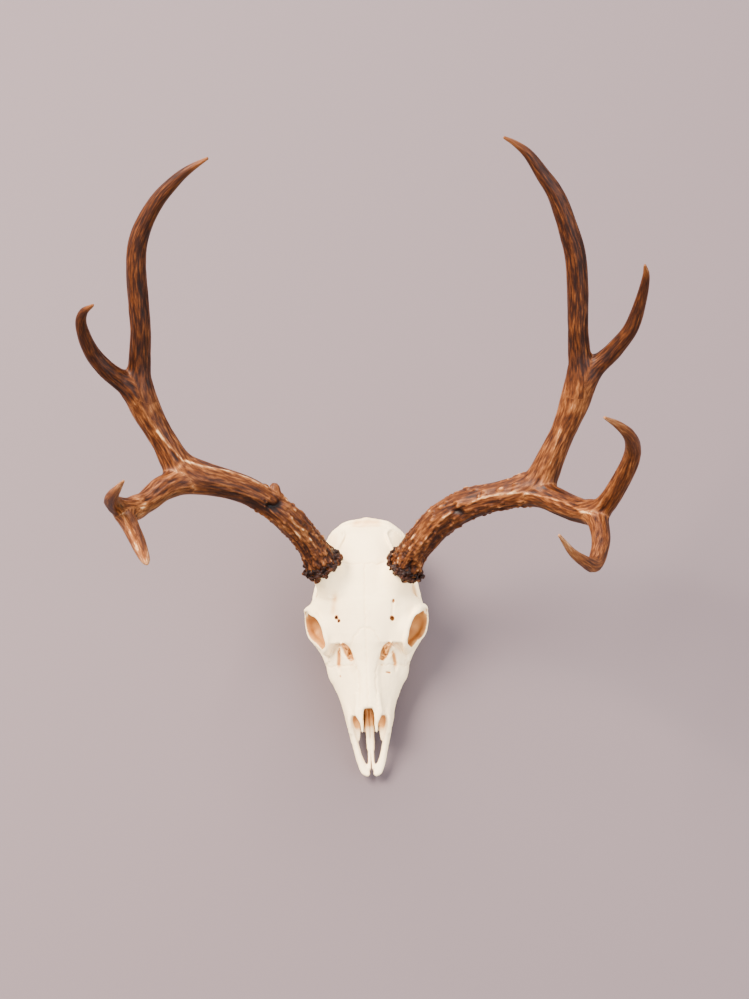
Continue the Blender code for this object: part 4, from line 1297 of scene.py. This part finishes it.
def pearls_on(travelled, turn, size, near_beam, kind, seed):
    """Height of the pearls in millimetres, and how near a point is to a pearl's top."""
    chance = np.random.default_rng(seed)
    height, top = np.zeros(len(travelled)), np.zeros(len(travelled))
    for _ in range(kind["count"]):
        at = FIRST_PEARL + kind["reach"] * chance.random() ** CROWDING
        angle = chance.uniform(-math.pi, math.pi)
        wide = chance.uniform(*PEARL_RADIUS)
        long = wide * chance.uniform(*PEARL_STRETCH)
        tall = wide * kind["height"] * chance.uniform(*PEARL_TALLNESS)
        pale = chance.random() ** PALE_PEARL_RARITY
        close = near_beam & (np.abs(travelled - at) < long)
        across = (np.mod(turn[close] - angle + math.pi, 2 * math.pi) - math.pi) * size[close]
        dome = np.clip(1 - ((travelled[close] - at) / long) ** 2 - (across / wide) ** 2, 0, 1)
        height[close] = np.maximum(height[close], tall * dome**PEARL_ROUNDNESS)
        top[close] = np.maximum(top[close], pale * fade(dome, *PEARL_TOP))
    return height, top


print("pearls:", {side_name: kind["count"] for side_name, kind in PEARLS.items()})

# %% Crests and pits read from the photograph
# For each line: its pixels, its half-width in pixels, its height in millimetres, and how pale.
# A pale tone is partly wear and partly painted highlight, a dark one painted shade.
ANTLER_LINES = {
    "left": [
        ([(455, 511), (461, 513)], 3.6, -3.6, -0.8), ([(411, 565), (411, 569)], 4.2, -5.0, -0.6),
        ([(450, 522), (438, 536), (430, 549), (425, 560)], 4.5, -1.6, -0.25),
        ([(415, 553), (423, 542), (432, 530), (441, 520), (451, 513)], 1.3, 1.6, 0.45),
        ([(459, 503), (458, 507)], 1.6, 2.0, 0.6), ([(420, 571), (418, 560)], 1.5, 1.4, 0.5),
        ([(466, 506), (480, 499), (500, 494), (523, 492.5), (542, 496), (563, 502), (580, 511),
          (595, 515)], 1, 0.7, 0.6),
        ([(541, 484), (546, 470), (553, 452), (560, 430)], 2.4, 0.5, 0.35),
        ([(470, 520), (500, 512), (530, 508)], 4.0, -0.4, -0.2),
        ([(448, 535), (470, 520), (530, 508)], 6, 0, -0.2),
        ([(592, 511), (600, 505), (610, 490)], 1.2, 0.6, 0.4),
    ],
    "right": [
        ([(281, 503), (276, 507), (270, 507)], 3.6, -3.6, -0.9),
        ([(268, 508), (252, 503.5), (234, 496), (212, 490)], 4.6, -0.9, -0.38),
        ([(268, 488), (247, 477.5), (230, 471.5), (200, 466), (182, 460), (169, 446), (157, 431)],
         1.1, 0.8, 0.75),
        ([(289, 514), (293, 522), (301, 528), (308, 532)], 1.2, 1.4, 0.4),
        ([(291, 526), (299, 536), (303, 545)], 1.2, 1.4, 0.5),
        ([(283, 503), (292, 511), (303, 523)], 1.6, 1.2, 0.2),
        ([(170, 478), (176, 470), (183, 463)], 2.4, 0.4, 0.4),
        ([(142, 508), (160, 497), (190, 484)], 1.4, 0.5, 0.35),
        ([(122, 512), (129, 530), (138, 550)], 1.8, 0.6, 0.45), ([(141, 530), (145, 556)], 3, 0, -0.4),
    ],
}
LINE_WAVE = 4.0
LINE_WANDER = 0.5
# How far a point has to look at the lens before a line starts to show, and to show fully.
FACES_LENS = (0.0, 0.35)
VIEW_AXES = np.array([VIEW_RIGHT, VIEW_UP, VIEW_OUT])


def in_photo(points):
    """Where points fall in the photograph: the other way round from seen."""
    across, along, out = ((points - np.array(AIM)) @ VIEW_AXES.T).T
    scale = PIXEL_MM * (1.0 - out / LENS_DISTANCE)
    right = (across * math.cos(VIEW_ROLL) - along * math.sin(VIEW_ROLL)) / scale
    up = (along * math.cos(VIEW_ROLL) + across * math.sin(VIEW_ROLL)) / scale
    return np.stack([PHOTO_CENTRE[0] + right, PHOTO_CENTRE[1] - up], axis=-1)


def lines_on(points, way, lines):
    """Height, and paleness with painted highlight and shade, from lines of pixels on the side facing the
    lens.
    """
    wander = [noise_at(points, LINE_WAVE, shift) for shift in (5.0, 15.0)]
    pixels = in_photo(points) + LINE_WANDER * np.stack(wander, axis=-1)
    faces_lens = fade(way @ VIEW_AXES[2], *FACES_LENS)
    height, pale = np.zeros(len(points)), np.zeros(len(points))
    for line, half_width, tall, tone in lines:
        share = faces_lens * np.exp(-(off_line(pixels, line) / half_width) ** 2)
        height += tall * share
        pale += tone * share
    return height, pale


print("lines:", {side_name: len(lines) for side_name, lines in ANTLER_LINES.items()})

# %% The crust above the burr
CRUST_REACH = 90.0
CRUST_FULL = 10.0
COARSE_LUMPS = 4.5
FINE_LUMPS = 2.4
LUMP_LEVEL = 0.5
LUMP_SHARPNESS = 1.6
FINE_LUMP_SHARE = 0.5


def crusted(points, seed):
    """Height in millimetres of the small lumps that cover the foot of the beam."""
    lumps = LUMP_LEVEL - LUMP_SHARPNESS * np.abs(noise_at(points, COARSE_LUMPS, seed))
    return lumps + FINE_LUMP_SHARE * noise_at(points, FINE_LUMPS, seed)


print("the crust ends", CRUST_REACH, "mm above the burr")

# %% [markdown]
# The upper tines of this pair are darker than the beams, the forks are rubbed paler, and the
# tips are worn to a light tan over a length that differs from tine to tine. At a fork two
# lengths meet, and each point takes its relief and tone from both, by how near they are. The
# streaks follow the nearer one alone.

# %% Make both antlers
TINE_TONE = {
    "beam": -0.05, "knob": 0.0, "back_tine": -0.32, "side_tine": -0.32,
    "front_tine": -0.12, "low_tine": -0.05,
}
TIP_LENGTH = {"back_tine": 34.0, "side_tine": 22.0, "front_tine": 60.0, "low_tine": 80.0}
TIP_WORN = 2.0
TIP_PALENESS = 0.55
FORK_PALENESS = 0.3
PEARL_PALENESS = 0.6
PEARL_COUNTS = 0.4
# How far from the beam's surface the pearls and the crust still count.
PEARLS_WITHIN = 3.0
CRUST_WITHIN = 6.0
CRUST_DARKNESS = 0.18
POLISHED_END = 20.0
ROUGH_FROM = 150.0
POLISHED_SHARE = 0.2
SHARED_REACH = 1.5
SETTLING_ROUNDS = 3
STREAK_STRETCH = 8
LEAST_WEIGHT = 0.02
# All weights as a share of the strongest: where a fork starts to pale, and where it is palest.
AT_FORK = (1.02, 1.7)
# Each length has its own grooves and streaks, and each antler its own seed.
GROOVE_SHIFT = 7
STREAK_SHIFT = 60
ANTLER_SEEDS = {"left": 3.1, "right": 23.1}


def make_antler(side_name, antler, seed):
    """One antler with its grooves, pearls, crust and crests, and its marks for the material."""
    curves = antler_curves({**antler, **KNOBS[side_name]})
    points, quads = rough_skin(curves)
    for _ in range(SETTLING_ROUNDS):
        points, way = on_melted_surface(curves, points)
    relief, pale, weights, strongest = (np.zeros(len(points)) for _ in range(4))
    streak = np.zeros((len(points), 3))
    for number, (name, curve) in enumerate(curves.items()):
        distance, _, travelled, turn, size = near_curve(curve, points)
        weight = np.exp(-np.maximum(distance, 0) / SHARED_REACH)
        near = weight > LEAST_WEIGHT
        heights = np.zeros(len(points))
        heights[near] = grooved(travelled[near], turn[near], seed + GROOVE_SHIFT * number)
        left_over = curve.along[-1] - travelled
        rough = POLISHED_SHARE + (1 - POLISHED_SHARE) * fade(left_over, POLISHED_END, ROUGH_FROM)
        tone = TINE_TONE[name]
        if name in TIP_LENGTH:
            tone = tone + TIP_PALENESS * fade(left_over, TIP_LENGTH[name], TIP_WORN)
        if name == "beam":
            rough = 1.0
            kind = PEARLS[side_name]
            on_beam = distance < PEARLS_WITHIN
            pearl, top = pearls_on(travelled, turn, size, on_beam, kind, round(seed))
            crust = fade(travelled, CRUST_REACH, CRUST_FULL) * (distance < CRUST_WITHIN)
        relief += weight * heights * GROOVE_DEPTH * rough
        pale += weight * tone
        leads = weight > strongest
        around = np.cos(turn) * USUAL_RADIUS, np.sin(turn) * USUAL_RADIUS
        lengthwise = travelled / STREAK_STRETCH + STREAK_SHIFT * number
        unrolled = np.stack([*around, lengthwise], axis=-1)
        streak[leads] = unrolled[leads]
        weights += weight
        strongest = np.maximum(strongest, weight)
    relief, pale = relief / weights, pale / weights
    relief += crust * crusted(points, seed)
    line_height, line_wear_and_painted_light = lines_on(points, way, ANTLER_LINES[side_name])
    at_fork = fade(weights / strongest, *AT_FORK)
    # The lines bring wear, painted highlights on crests and painted shade in pits.
    pale += line_wear_and_painted_light - CRUST_DARKNESS * crust + PEARL_PALENESS * top + FORK_PALENESS * at_fork
    points = points + way * (relief + pearl + line_height)[:, None]
    marks = {"relief": relief + PEARL_COUNTS * pearl, "pale": np.clip(pale, -1, 1), "streak": streak}
    return new_piece(side_name + "_antler", placed(points), quads, marks)


antler_pieces = {}
for side_name, antler in ANTLERS.items():
    antler_pieces[side_name] = make_antler(side_name, antler, ANTLER_SEEDS[side_name])

# %% [markdown]
# ## Burrs
# The burr is the rough ring where the antler grew out of the skull. It is a collar with a
# petal of lumps between each pair of vessel channels, and beads all over. It is made as a
# field of its own with a finer grain, lying flat, and then stood on the pedicle.

# %% The collar of a burr and its petals
BURR_GRAIN = 0.62
BURR_BLOCK = ((-27, -27, -8), (27, 27, 16))
BURR_COLLAR = [(0, 0, -2.2, 15.5, 15.5), (0, 0, 2, 18, 18), (0, 0, 7, 16.6, 16.6)]
BURR_REACH = (20.2, 23.4)
PETALS = 15
PETAL_SHIFT = (-0.3, 0.3)
PETAL_ROOT = 14
PETAL_WIDTH = (2.4, 3.6)
PETAL_HEIGHT = (2.4, 4.2)
PETAL_LIFT = (-0.5, 4.0)
PETAL_MELT = 0.8


def petalled(grid, chance):
    """The field of a collar with a ring of petals."""
    field = distance_to(bar_skin(BURR_COLLAR, sides=40), grid)
    for number in range(PETALS):
        angle = 2 * math.pi * (number + chance.uniform(*PETAL_SHIFT)) / PETALS
        reach = chance.uniform(*BURR_REACH)
        wide, tall = chance.uniform(*PETAL_WIDTH), chance.uniform(*PETAL_HEIGHT)
        lift = chance.uniform(*PETAL_LIFT)
        out = math.cos(angle), math.sin(angle)
        knots = ((PETAL_ROOT, 1), (reach - 3, 0), (reach - 1.5, 0.4))
        petal = [(out[0] * r, out[1] * r, lift + rise, wide, tall) for r, rise in knots]
        field = melt(field, distance_to(bar_skin(petal, sides=14), grid), PETAL_MELT)
    return field


burr_grid = grid_between(*BURR_BLOCK, BURR_GRAIN)
print("a burr's grid has", burr_grid.shape, "points")

# %% Beads on the burr
BEADS = 150
BEAD_RADIUS = (1.2, 2.5)
BEAD_LIFT = (-2.5, 2.0, 12.0)
BEAD_OUT = (18.5, 22.0)
BEAD_OUT_ABOVE = 17.0
COLLAR_TOP = 5.5
BEAD_MELT = 1.1
PALE_BEAD_SHARE = 0.06


def stamped(field, grid, centre, radius, reach):
    """Melts one small ball into the field, touching only the numbers near it."""
    low = np.floor((centre - radius - reach - grid.low) / grid.grain).astype(int)
    high = np.ceil((centre + radius + reach - grid.low) / grid.grain).astype(int) + 1
    low, high = np.maximum(low, 0), np.minimum(high, grid.shape)
    window = tuple(slice(a, b) for a, b in zip(low, high))
    x, y, z = (grid.low[i] + grid.grain * np.arange(low[i], high[i]) - centre[i] for i in range(3))
    far = np.sqrt(x[:, None, None] ** 2 + y[:, None] ** 2 + z**2)
    field[window] = melt(field[window], (far - radius).astype(np.float32), reach)


def beaded(field, grid, chance):
    """Stamps the beads into a burr's field, and gives back the few that wore pale."""
    pale_beads = []
    for _ in range(BEADS):
        angle, lift = chance.uniform(0, 2 * math.pi), chance.triangular(*BEAD_LIFT)
        radius = chance.uniform(*BEAD_RADIUS)
        out = chance.uniform(*BEAD_OUT) if lift < COLLAR_TOP else BEAD_OUT_ABOVE
        centre = np.array([math.cos(angle) * out, math.sin(angle) * out, lift])
        stamped(field, grid, centre, radius, BEAD_MELT)
        if chance.random() < PALE_BEAD_SHARE:
            pale_beads.append((centre, radius))
    return pale_beads


print("beads on each burr:", BEADS)

# %% Make both burrs
# Where a burr leans is read from the photograph too, as a step from the foot of its beam.
BURR_LEAN = {"left": (11.5, -11.5, 12), "right": (-10, -12.5, 12)}
BURR_HOLES = {"left": [((411, 569, 15), 4.6)], "right": []}
BURR_TONE = -0.62
BEAD_PALENESS = 0.8
PALE_BEAD_EDGE = (1.35, 0.8)
HOLE_ROUNDING = 1.0
RELIEF_MIDDLE = 19.5
RELIEF_OUTWARDS = 0.2
STREAK_SQUEEZE = (1, 1, 0.3)
BURR_SEEDS = {"left": 5, "right": 6}
CRUST_GRAIN = 2.6
CRUST_HEIGHT = 0.55
FINE_CRUST_HEIGHT = 0.3


def burr_axes(side_name, antler):
    """The middle of a burr, and its own sideways, backwards and upward directions."""
    top, _ = burr_of(antler)
    foot = [at + step for at, step in zip(antler["beam"][0], BURR_LEAN[side_name])]
    way = np.array(seen(*foot)) - top
    way /= np.linalg.norm(way)
    side = np.cross(way, (0, 1, 0))
    side /= np.linalg.norm(side)
    return top, np.array([side, np.cross(way, side), way])


def make_burr(side_name, antler, seed):
    """One burr, standing on its pedicle, and its marks for the material."""
    top, axes = burr_axes(side_name, antler)
    chance = np.random.default_rng(seed)
    field = petalled(burr_grid, chance)
    pale_beads = beaded(field, burr_grid, chance)
    for hole, radius in BURR_HOLES[side_name]:
        centre = axes @ (np.array(seen(*hole)) - top)
        field = carve(field, ball(centre, (radius, radius, radius), burr_grid), HOLE_ROUNDING)
    points, quads = surface_of(field, burr_grid)
    normals = point_normals(points, quads)
    crust = noise_at(points, CRUST_GRAIN, seed)
    fine_crust = noise_at(points, CRUST_GRAIN / 2, seed)
    pale = np.full(len(points), BURR_TONE)
    for centre, radius in pale_beads:
        off_bead = np.linalg.norm(points - centre, axis=1)
        edge = [share * radius for share in PALE_BEAD_EDGE]
        pale += BEAD_PALENESS * fade(off_bead, *edge)
    out = np.hypot(points[:, 0], points[:, 1])
    relief = RELIEF_OUTWARDS * (out - RELIEF_MIDDLE) + crust
    points = points + normals * (CRUST_HEIGHT * crust + FINE_CRUST_HEIGHT * fine_crust)[:, None]
    streak = points * STREAK_SQUEEZE
    marks = {"relief": relief, "pale": np.clip(pale, -1, 1), "streak": streak}
    return new_piece(side_name + "_burr", placed(top + points @ axes), quads, marks)


for side_name, antler in ANTLERS.items():
    antler_pieces[side_name + " burr"] = make_burr(side_name, antler, BURR_SEEDS[side_name])

# %% [markdown]
# ## Weathered antler
# Antler is stained brown by bark and blood while it is rubbed, and the raised parts wear pale
# again. One number from dark to pale is mixed from streaks along the grain, the relief and the
# marks, which also carry the painted highlights and painted shade of the lines, and a ramp of
# five browns turns it into colour. Real streaks are about 1 mm apart, which is a pixel here, so
# they are drawn at 1.7 mm. The surface is satin, as of rubbed wood.

# %% The antler material
ANTLER_SHADES = [
    (0.08, "#090301"), (0.32, "#200B03"), (0.5, "#442007"), (0.7, "#70421F"), (1.0, "#CDA678"),
]
ANTLER_ROUGHNESS = 0.48
ANTLER_IOR = 1.54
ANTLER_SPECULAR = 0.1
STREAK_SIZE = 1.7
STREAK_DEPTH = 0.5
STREAK_STRENGTH = 0.6
STREAK_DETAIL = 4.0
STREAK_BREAKS = 0.6
RELIEF_COUNTS = 0.16
PALE_COUNTS = 0.42

antler_brown, tree, shader = material_of(
    "weathered antler", ANTLER_ROUGHNESS, ANTLER_IOR, ANTLER_SPECULAR,
)
marks = {}
for name in ("relief", "pale", "streak"):
    marks[name] = add_node(tree, "ShaderNodeAttribute", {"attribute_name": name})
streaks = add_node(
    tree, "ShaderNodeTexNoise",
    inputs={
        "Vector": marks["streak"].outputs["Vector"], "Scale": 1 / STREAK_SIZE,
        "Detail": STREAK_DETAIL, "Roughness": STREAK_BREAKS,
    },
)
raised = add_node(
    tree, "ShaderNodeMath", {"operation": "MULTIPLY_ADD"},
    {0: marks["relief"].outputs["Fac"], 1: RELIEF_COUNTS, 2: streaks.outputs["Fac"]},
)
paled = add_node(
    tree, "ShaderNodeMath", {"operation": "MULTIPLY_ADD"},
    {0: marks["pale"].outputs["Fac"], 1: PALE_COUNTS, 2: raised.outputs[0]},
)
browns = add_node(tree, "ShaderNodeValToRGB", inputs={0: paled.outputs[0]})
shades = browns.color_ramp.elements
for number, (position, code) in enumerate(ANTLER_SHADES):
    shade = shades[number] if number < 2 else shades.new(position)
    shade.position = position
    shade.color = linear(code)
grain_bump = add_node(
    tree, "ShaderNodeBump",
    inputs={
        "Strength": STREAK_STRENGTH, "Distance": STREAK_DEPTH * MM,
        "Height": streaks.outputs["Fac"],
    },
)
tree.links.new(browns.outputs[0], shader.inputs["Base Color"])
tree.links.new(grain_bump.outputs[0], shader.inputs["Normal"])
for name, piece in antler_pieces.items():
    piece.data.materials.append(antler_brown)
    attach(piece, "root")
    if name in ANTLERS:
        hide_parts(*[f"{name}_antler_{stretch}" for stretch in LEFT_ANTLER])
print("antler's browns:", len(ANTLER_SHADES))

# %% [markdown]
# ## Cheek teeth
# A deer chews with six teeth a side: three premolars of one lobe and three molars of two. Each
# lobe is a tall rounded column. On the cheek side it has upright ribs, and its worn face shows
# hard enamel edges round softer brown dentine, with a deep crescent in each lobe. Each tooth is
# a small field of its own, because a groove half a millimetre wide needs a fine grain.

# %% The columns and crescents of one tooth
TOOTH_SPACE = 0.5
TOOTH_GRAIN = 0.45
TOOTH_TOP = 13.5
# A tooth's girth, as a share of its width, at these heights above its worn face.
TAPER_HEIGHTS = (0.0, 3.0, TOOTH_CROWN, TOOTH_TOP)
TAPER = (0.87, 0.97, 0.9, 0.82)
MOLAR_LENGTH = 13.0
COLUMN_POWER = 2.5
COLUMN_OVERLAP = 1.04
LOBE_MELT = 1.2
# Ribs stand this far out, as a share of the tooth's width: in a lobe's middle, and at its corners.
LOBE_RIB_OUT = 0.42
CORNER_RIB_OUT = 0.46
RIB_RADIUS = 1.15
# The rib in a lobe's middle is this share as thick.
LOBE_RIB_SHARE = 0.8
LOBE_RIB_MELT = 1.6
CORNER_RIB_MELT = 1.0
RIB_INSET = 0.9
# A crescent is part of a squashed ring. As shares of the width: its middle, and where it stops.
CRESCENT_CENTRE = 0.16
CRESCENT_STOP = 0.1
CRESCENT_SQUASH = 0.8
# Its radius is a share of half the lobe's length.
CRESCENT_RADIUS = 0.5
CRESCENT_HALF_WIDTH = 0.5
CRESCENT_RIM = 0.6
NO_CRESCENT = 9.0


def columns_of(grid, length, width):
    """The fields of a tooth's ribbed columns and of the crescents in its worn face."""
    lobes = 2 if length > MOLAR_LENGTH else 1
    half, lobe = (length - TOOTH_SPACE) / 2, (length - TOOTH_SPACE) / 2 / lobes
    x, s, z = axes_of(grid)
    size = np.interp(z, TAPER_HEIGHTS, TAPER)
    column, crescent = None, np.full(grid.shape, NO_CRESCENT, np.float32)
    for place in [(number * 2 + 1 - lobes) * lobe for number in range(lobes)]:
        across = np.abs(x) / (width / 2 * size)
        along = np.abs(s - place) / (lobe * COLUMN_OVERLAP * size)
        outline = (across**COLUMN_POWER + along**COLUMN_POWER) ** (1 / COLUMN_POWER)
        part = (outline - 1) * min(width / 2, lobe)
        column = part if column is None else melt(column, part, LOBE_MELT)
        from_centre = np.hypot((x - CRESCENT_CENTRE * width) * CRESCENT_SQUASH, s - place)
        arc = np.abs(from_centre - CRESCENT_RADIUS * lobe)
        bent = np.maximum(arc - CRESCENT_HALF_WIDTH, x - CRESCENT_STOP * width)
        crescent = np.minimum(crescent, bent + 0 * z)
        rib = np.hypot(x - width * LOBE_RIB_OUT * size, s - place) - RIB_RADIUS * LOBE_RIB_SHARE
        column = melt(column, rib, LOBE_RIB_MELT)
    corners = [-half + RIB_INSET, half - RIB_INSET]
    for place in ([corners[0], 0.0, corners[1]] if lobes == 2 else corners):
        rib = np.hypot(x - width * CORNER_RIB_OUT * size, s - place) - RIB_RADIUS
        column = melt(column, rib, CORNER_RIB_MELT)
    return column, crescent


print("teeth with two lobes:", [name for name, size in TEETH.items() if size[1] > MOLAR_LENGTH])

# %% Make the teeth
CRESCENT_DEPTH = 2.4
ENAMEL_THICKNESS = 0.9
DENTINE_WEAR = 0.5
WEAR_REACH = 0.4
DENTINE_STAIN = 0.55
GUM_STAIN = 0.35
SPOT_STAIN = 0.3
SPOT_SIZE = 3.0
# Where each stain starts and where it is full: heights in millimetres, then distances and noise.
DENTINE_HEIGHTS = (1.2, 0.6)
GUM_HEIGHTS = (6.5, 10.5)
DENTINE_EDGE = (0.15, -0.25)
CRESCENT_EDGE = (0.35, 0.0)
SPOT_EDGE = (0.1, 0.6)


def make_tooth(name, side, out, length, width, middle):
    """One tooth in its place, worn and stained."""
    half = (length - TOOTH_SPACE) / 2
    corner = np.array((width / 2 + 2, half + 2, TOOTH_TOP + 2))
    grid = grid_between((-corner[0], -corner[1], -2), corner, TOOTH_GRAIN)
    column, crescent = columns_of(grid, length, width)
    z = axes_of(grid)[2]
    basin = np.maximum(column + ENAMEL_THICKNESS, CRESCENT_RIM - crescent)
    field = np.maximum(column, np.maximum(-z, z - TOOTH_TOP))
    field = carve(field, np.maximum(basin, z - DENTINE_WEAR), WEAR_REACH)
    field = carve(field, np.maximum(crescent, z - CRESCENT_DEPTH), WEAR_REACH)
    points, quads = surface_of(field.astype(np.float32), grid)
    height = points[:, 2]
    dentine = fade(height, *DENTINE_HEIGHTS)
    dentine = dentine * fade(sampled(basin, grid, points), *DENTINE_EDGE)
    groove = fade(height, CRESCENT_DEPTH + 1, CRESCENT_DEPTH)
    groove = groove * fade(sampled(crescent, grid, points), *CRESCENT_EDGE)
    spots = SPOT_STAIN * fade(noise_at(points, SPOT_SIZE, middle), *SPOT_EDGE)
    edge = GUM_STAIN * fade(height, *GUM_HEIGHTS) + spots
    # On a tooth this mark is stain and tartar only, with no painted shade.
    stain_and_shade = np.maximum.reduce([DENTINE_STAIN * dentine, groove, edge])
    points[:, 2] = np.maximum(points[:, 2], 0.0)
    points = points * (side, 1, 1) + (side * out - bow(middle), middle, 0)
    faces = quads if side > 0 else quads[:, ::-1]
    return new_piece(name, placed(points), faces, {"stain_and_shade": np.clip(stain_and_shade, 0, 1)})


tooth_pieces = {}
for side_name, side in (("left", 1), ("right", -1)):
    front = FIRST_TOOTH_S
    for name, (out, length, width) in TEETH.items():
        full_name = f"{side_name}_{name}"
        tooth = make_tooth(full_name + "_enamel", side, out, length, width, front + length / 2)
        tooth_pieces[full_name] = tooth
        front += length

# %% [markdown]
# Tooth enamel is the hardest and glossiest thing on the skull: ivory, nearly polished by
# chewing, with brown dentine in the worn face and dark tartar in the crescents and at the bone.

# %% The enamel material
ENAMEL_IVORY = "#E6D9BE"
DENTINE_TAN = "#A9793F"
TARTAR_BROWN = "#3A2212"
DENTINE_AT = 0.55
ENAMEL_ROUGHNESS = 0.28
ENAMEL_IOR = 1.63

enamel, tree, shader = material_of("tooth enamel", ENAMEL_ROUGHNESS, ENAMEL_IOR)
mark = add_node(tree, "ShaderNodeAttribute", {"attribute_name": "stain_and_shade"})
ivories = add_node(tree, "ShaderNodeValToRGB", inputs={0: mark.outputs["Fac"]})
ivories.color_ramp.elements[0].color = linear(ENAMEL_IVORY)
ivories.color_ramp.elements[1].color = linear(TARTAR_BROWN)
ivories.color_ramp.elements.new(DENTINE_AT).color = linear(DENTINE_TAN)
tree.links.new(ivories.outputs[0], shader.inputs["Base Color"])
for node_name, piece in tooth_pieces.items():
    piece.data.materials.append(enamel)
    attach(piece, "root")
    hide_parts(node_name)
print("teeth dressed:", len(tooth_pieces))
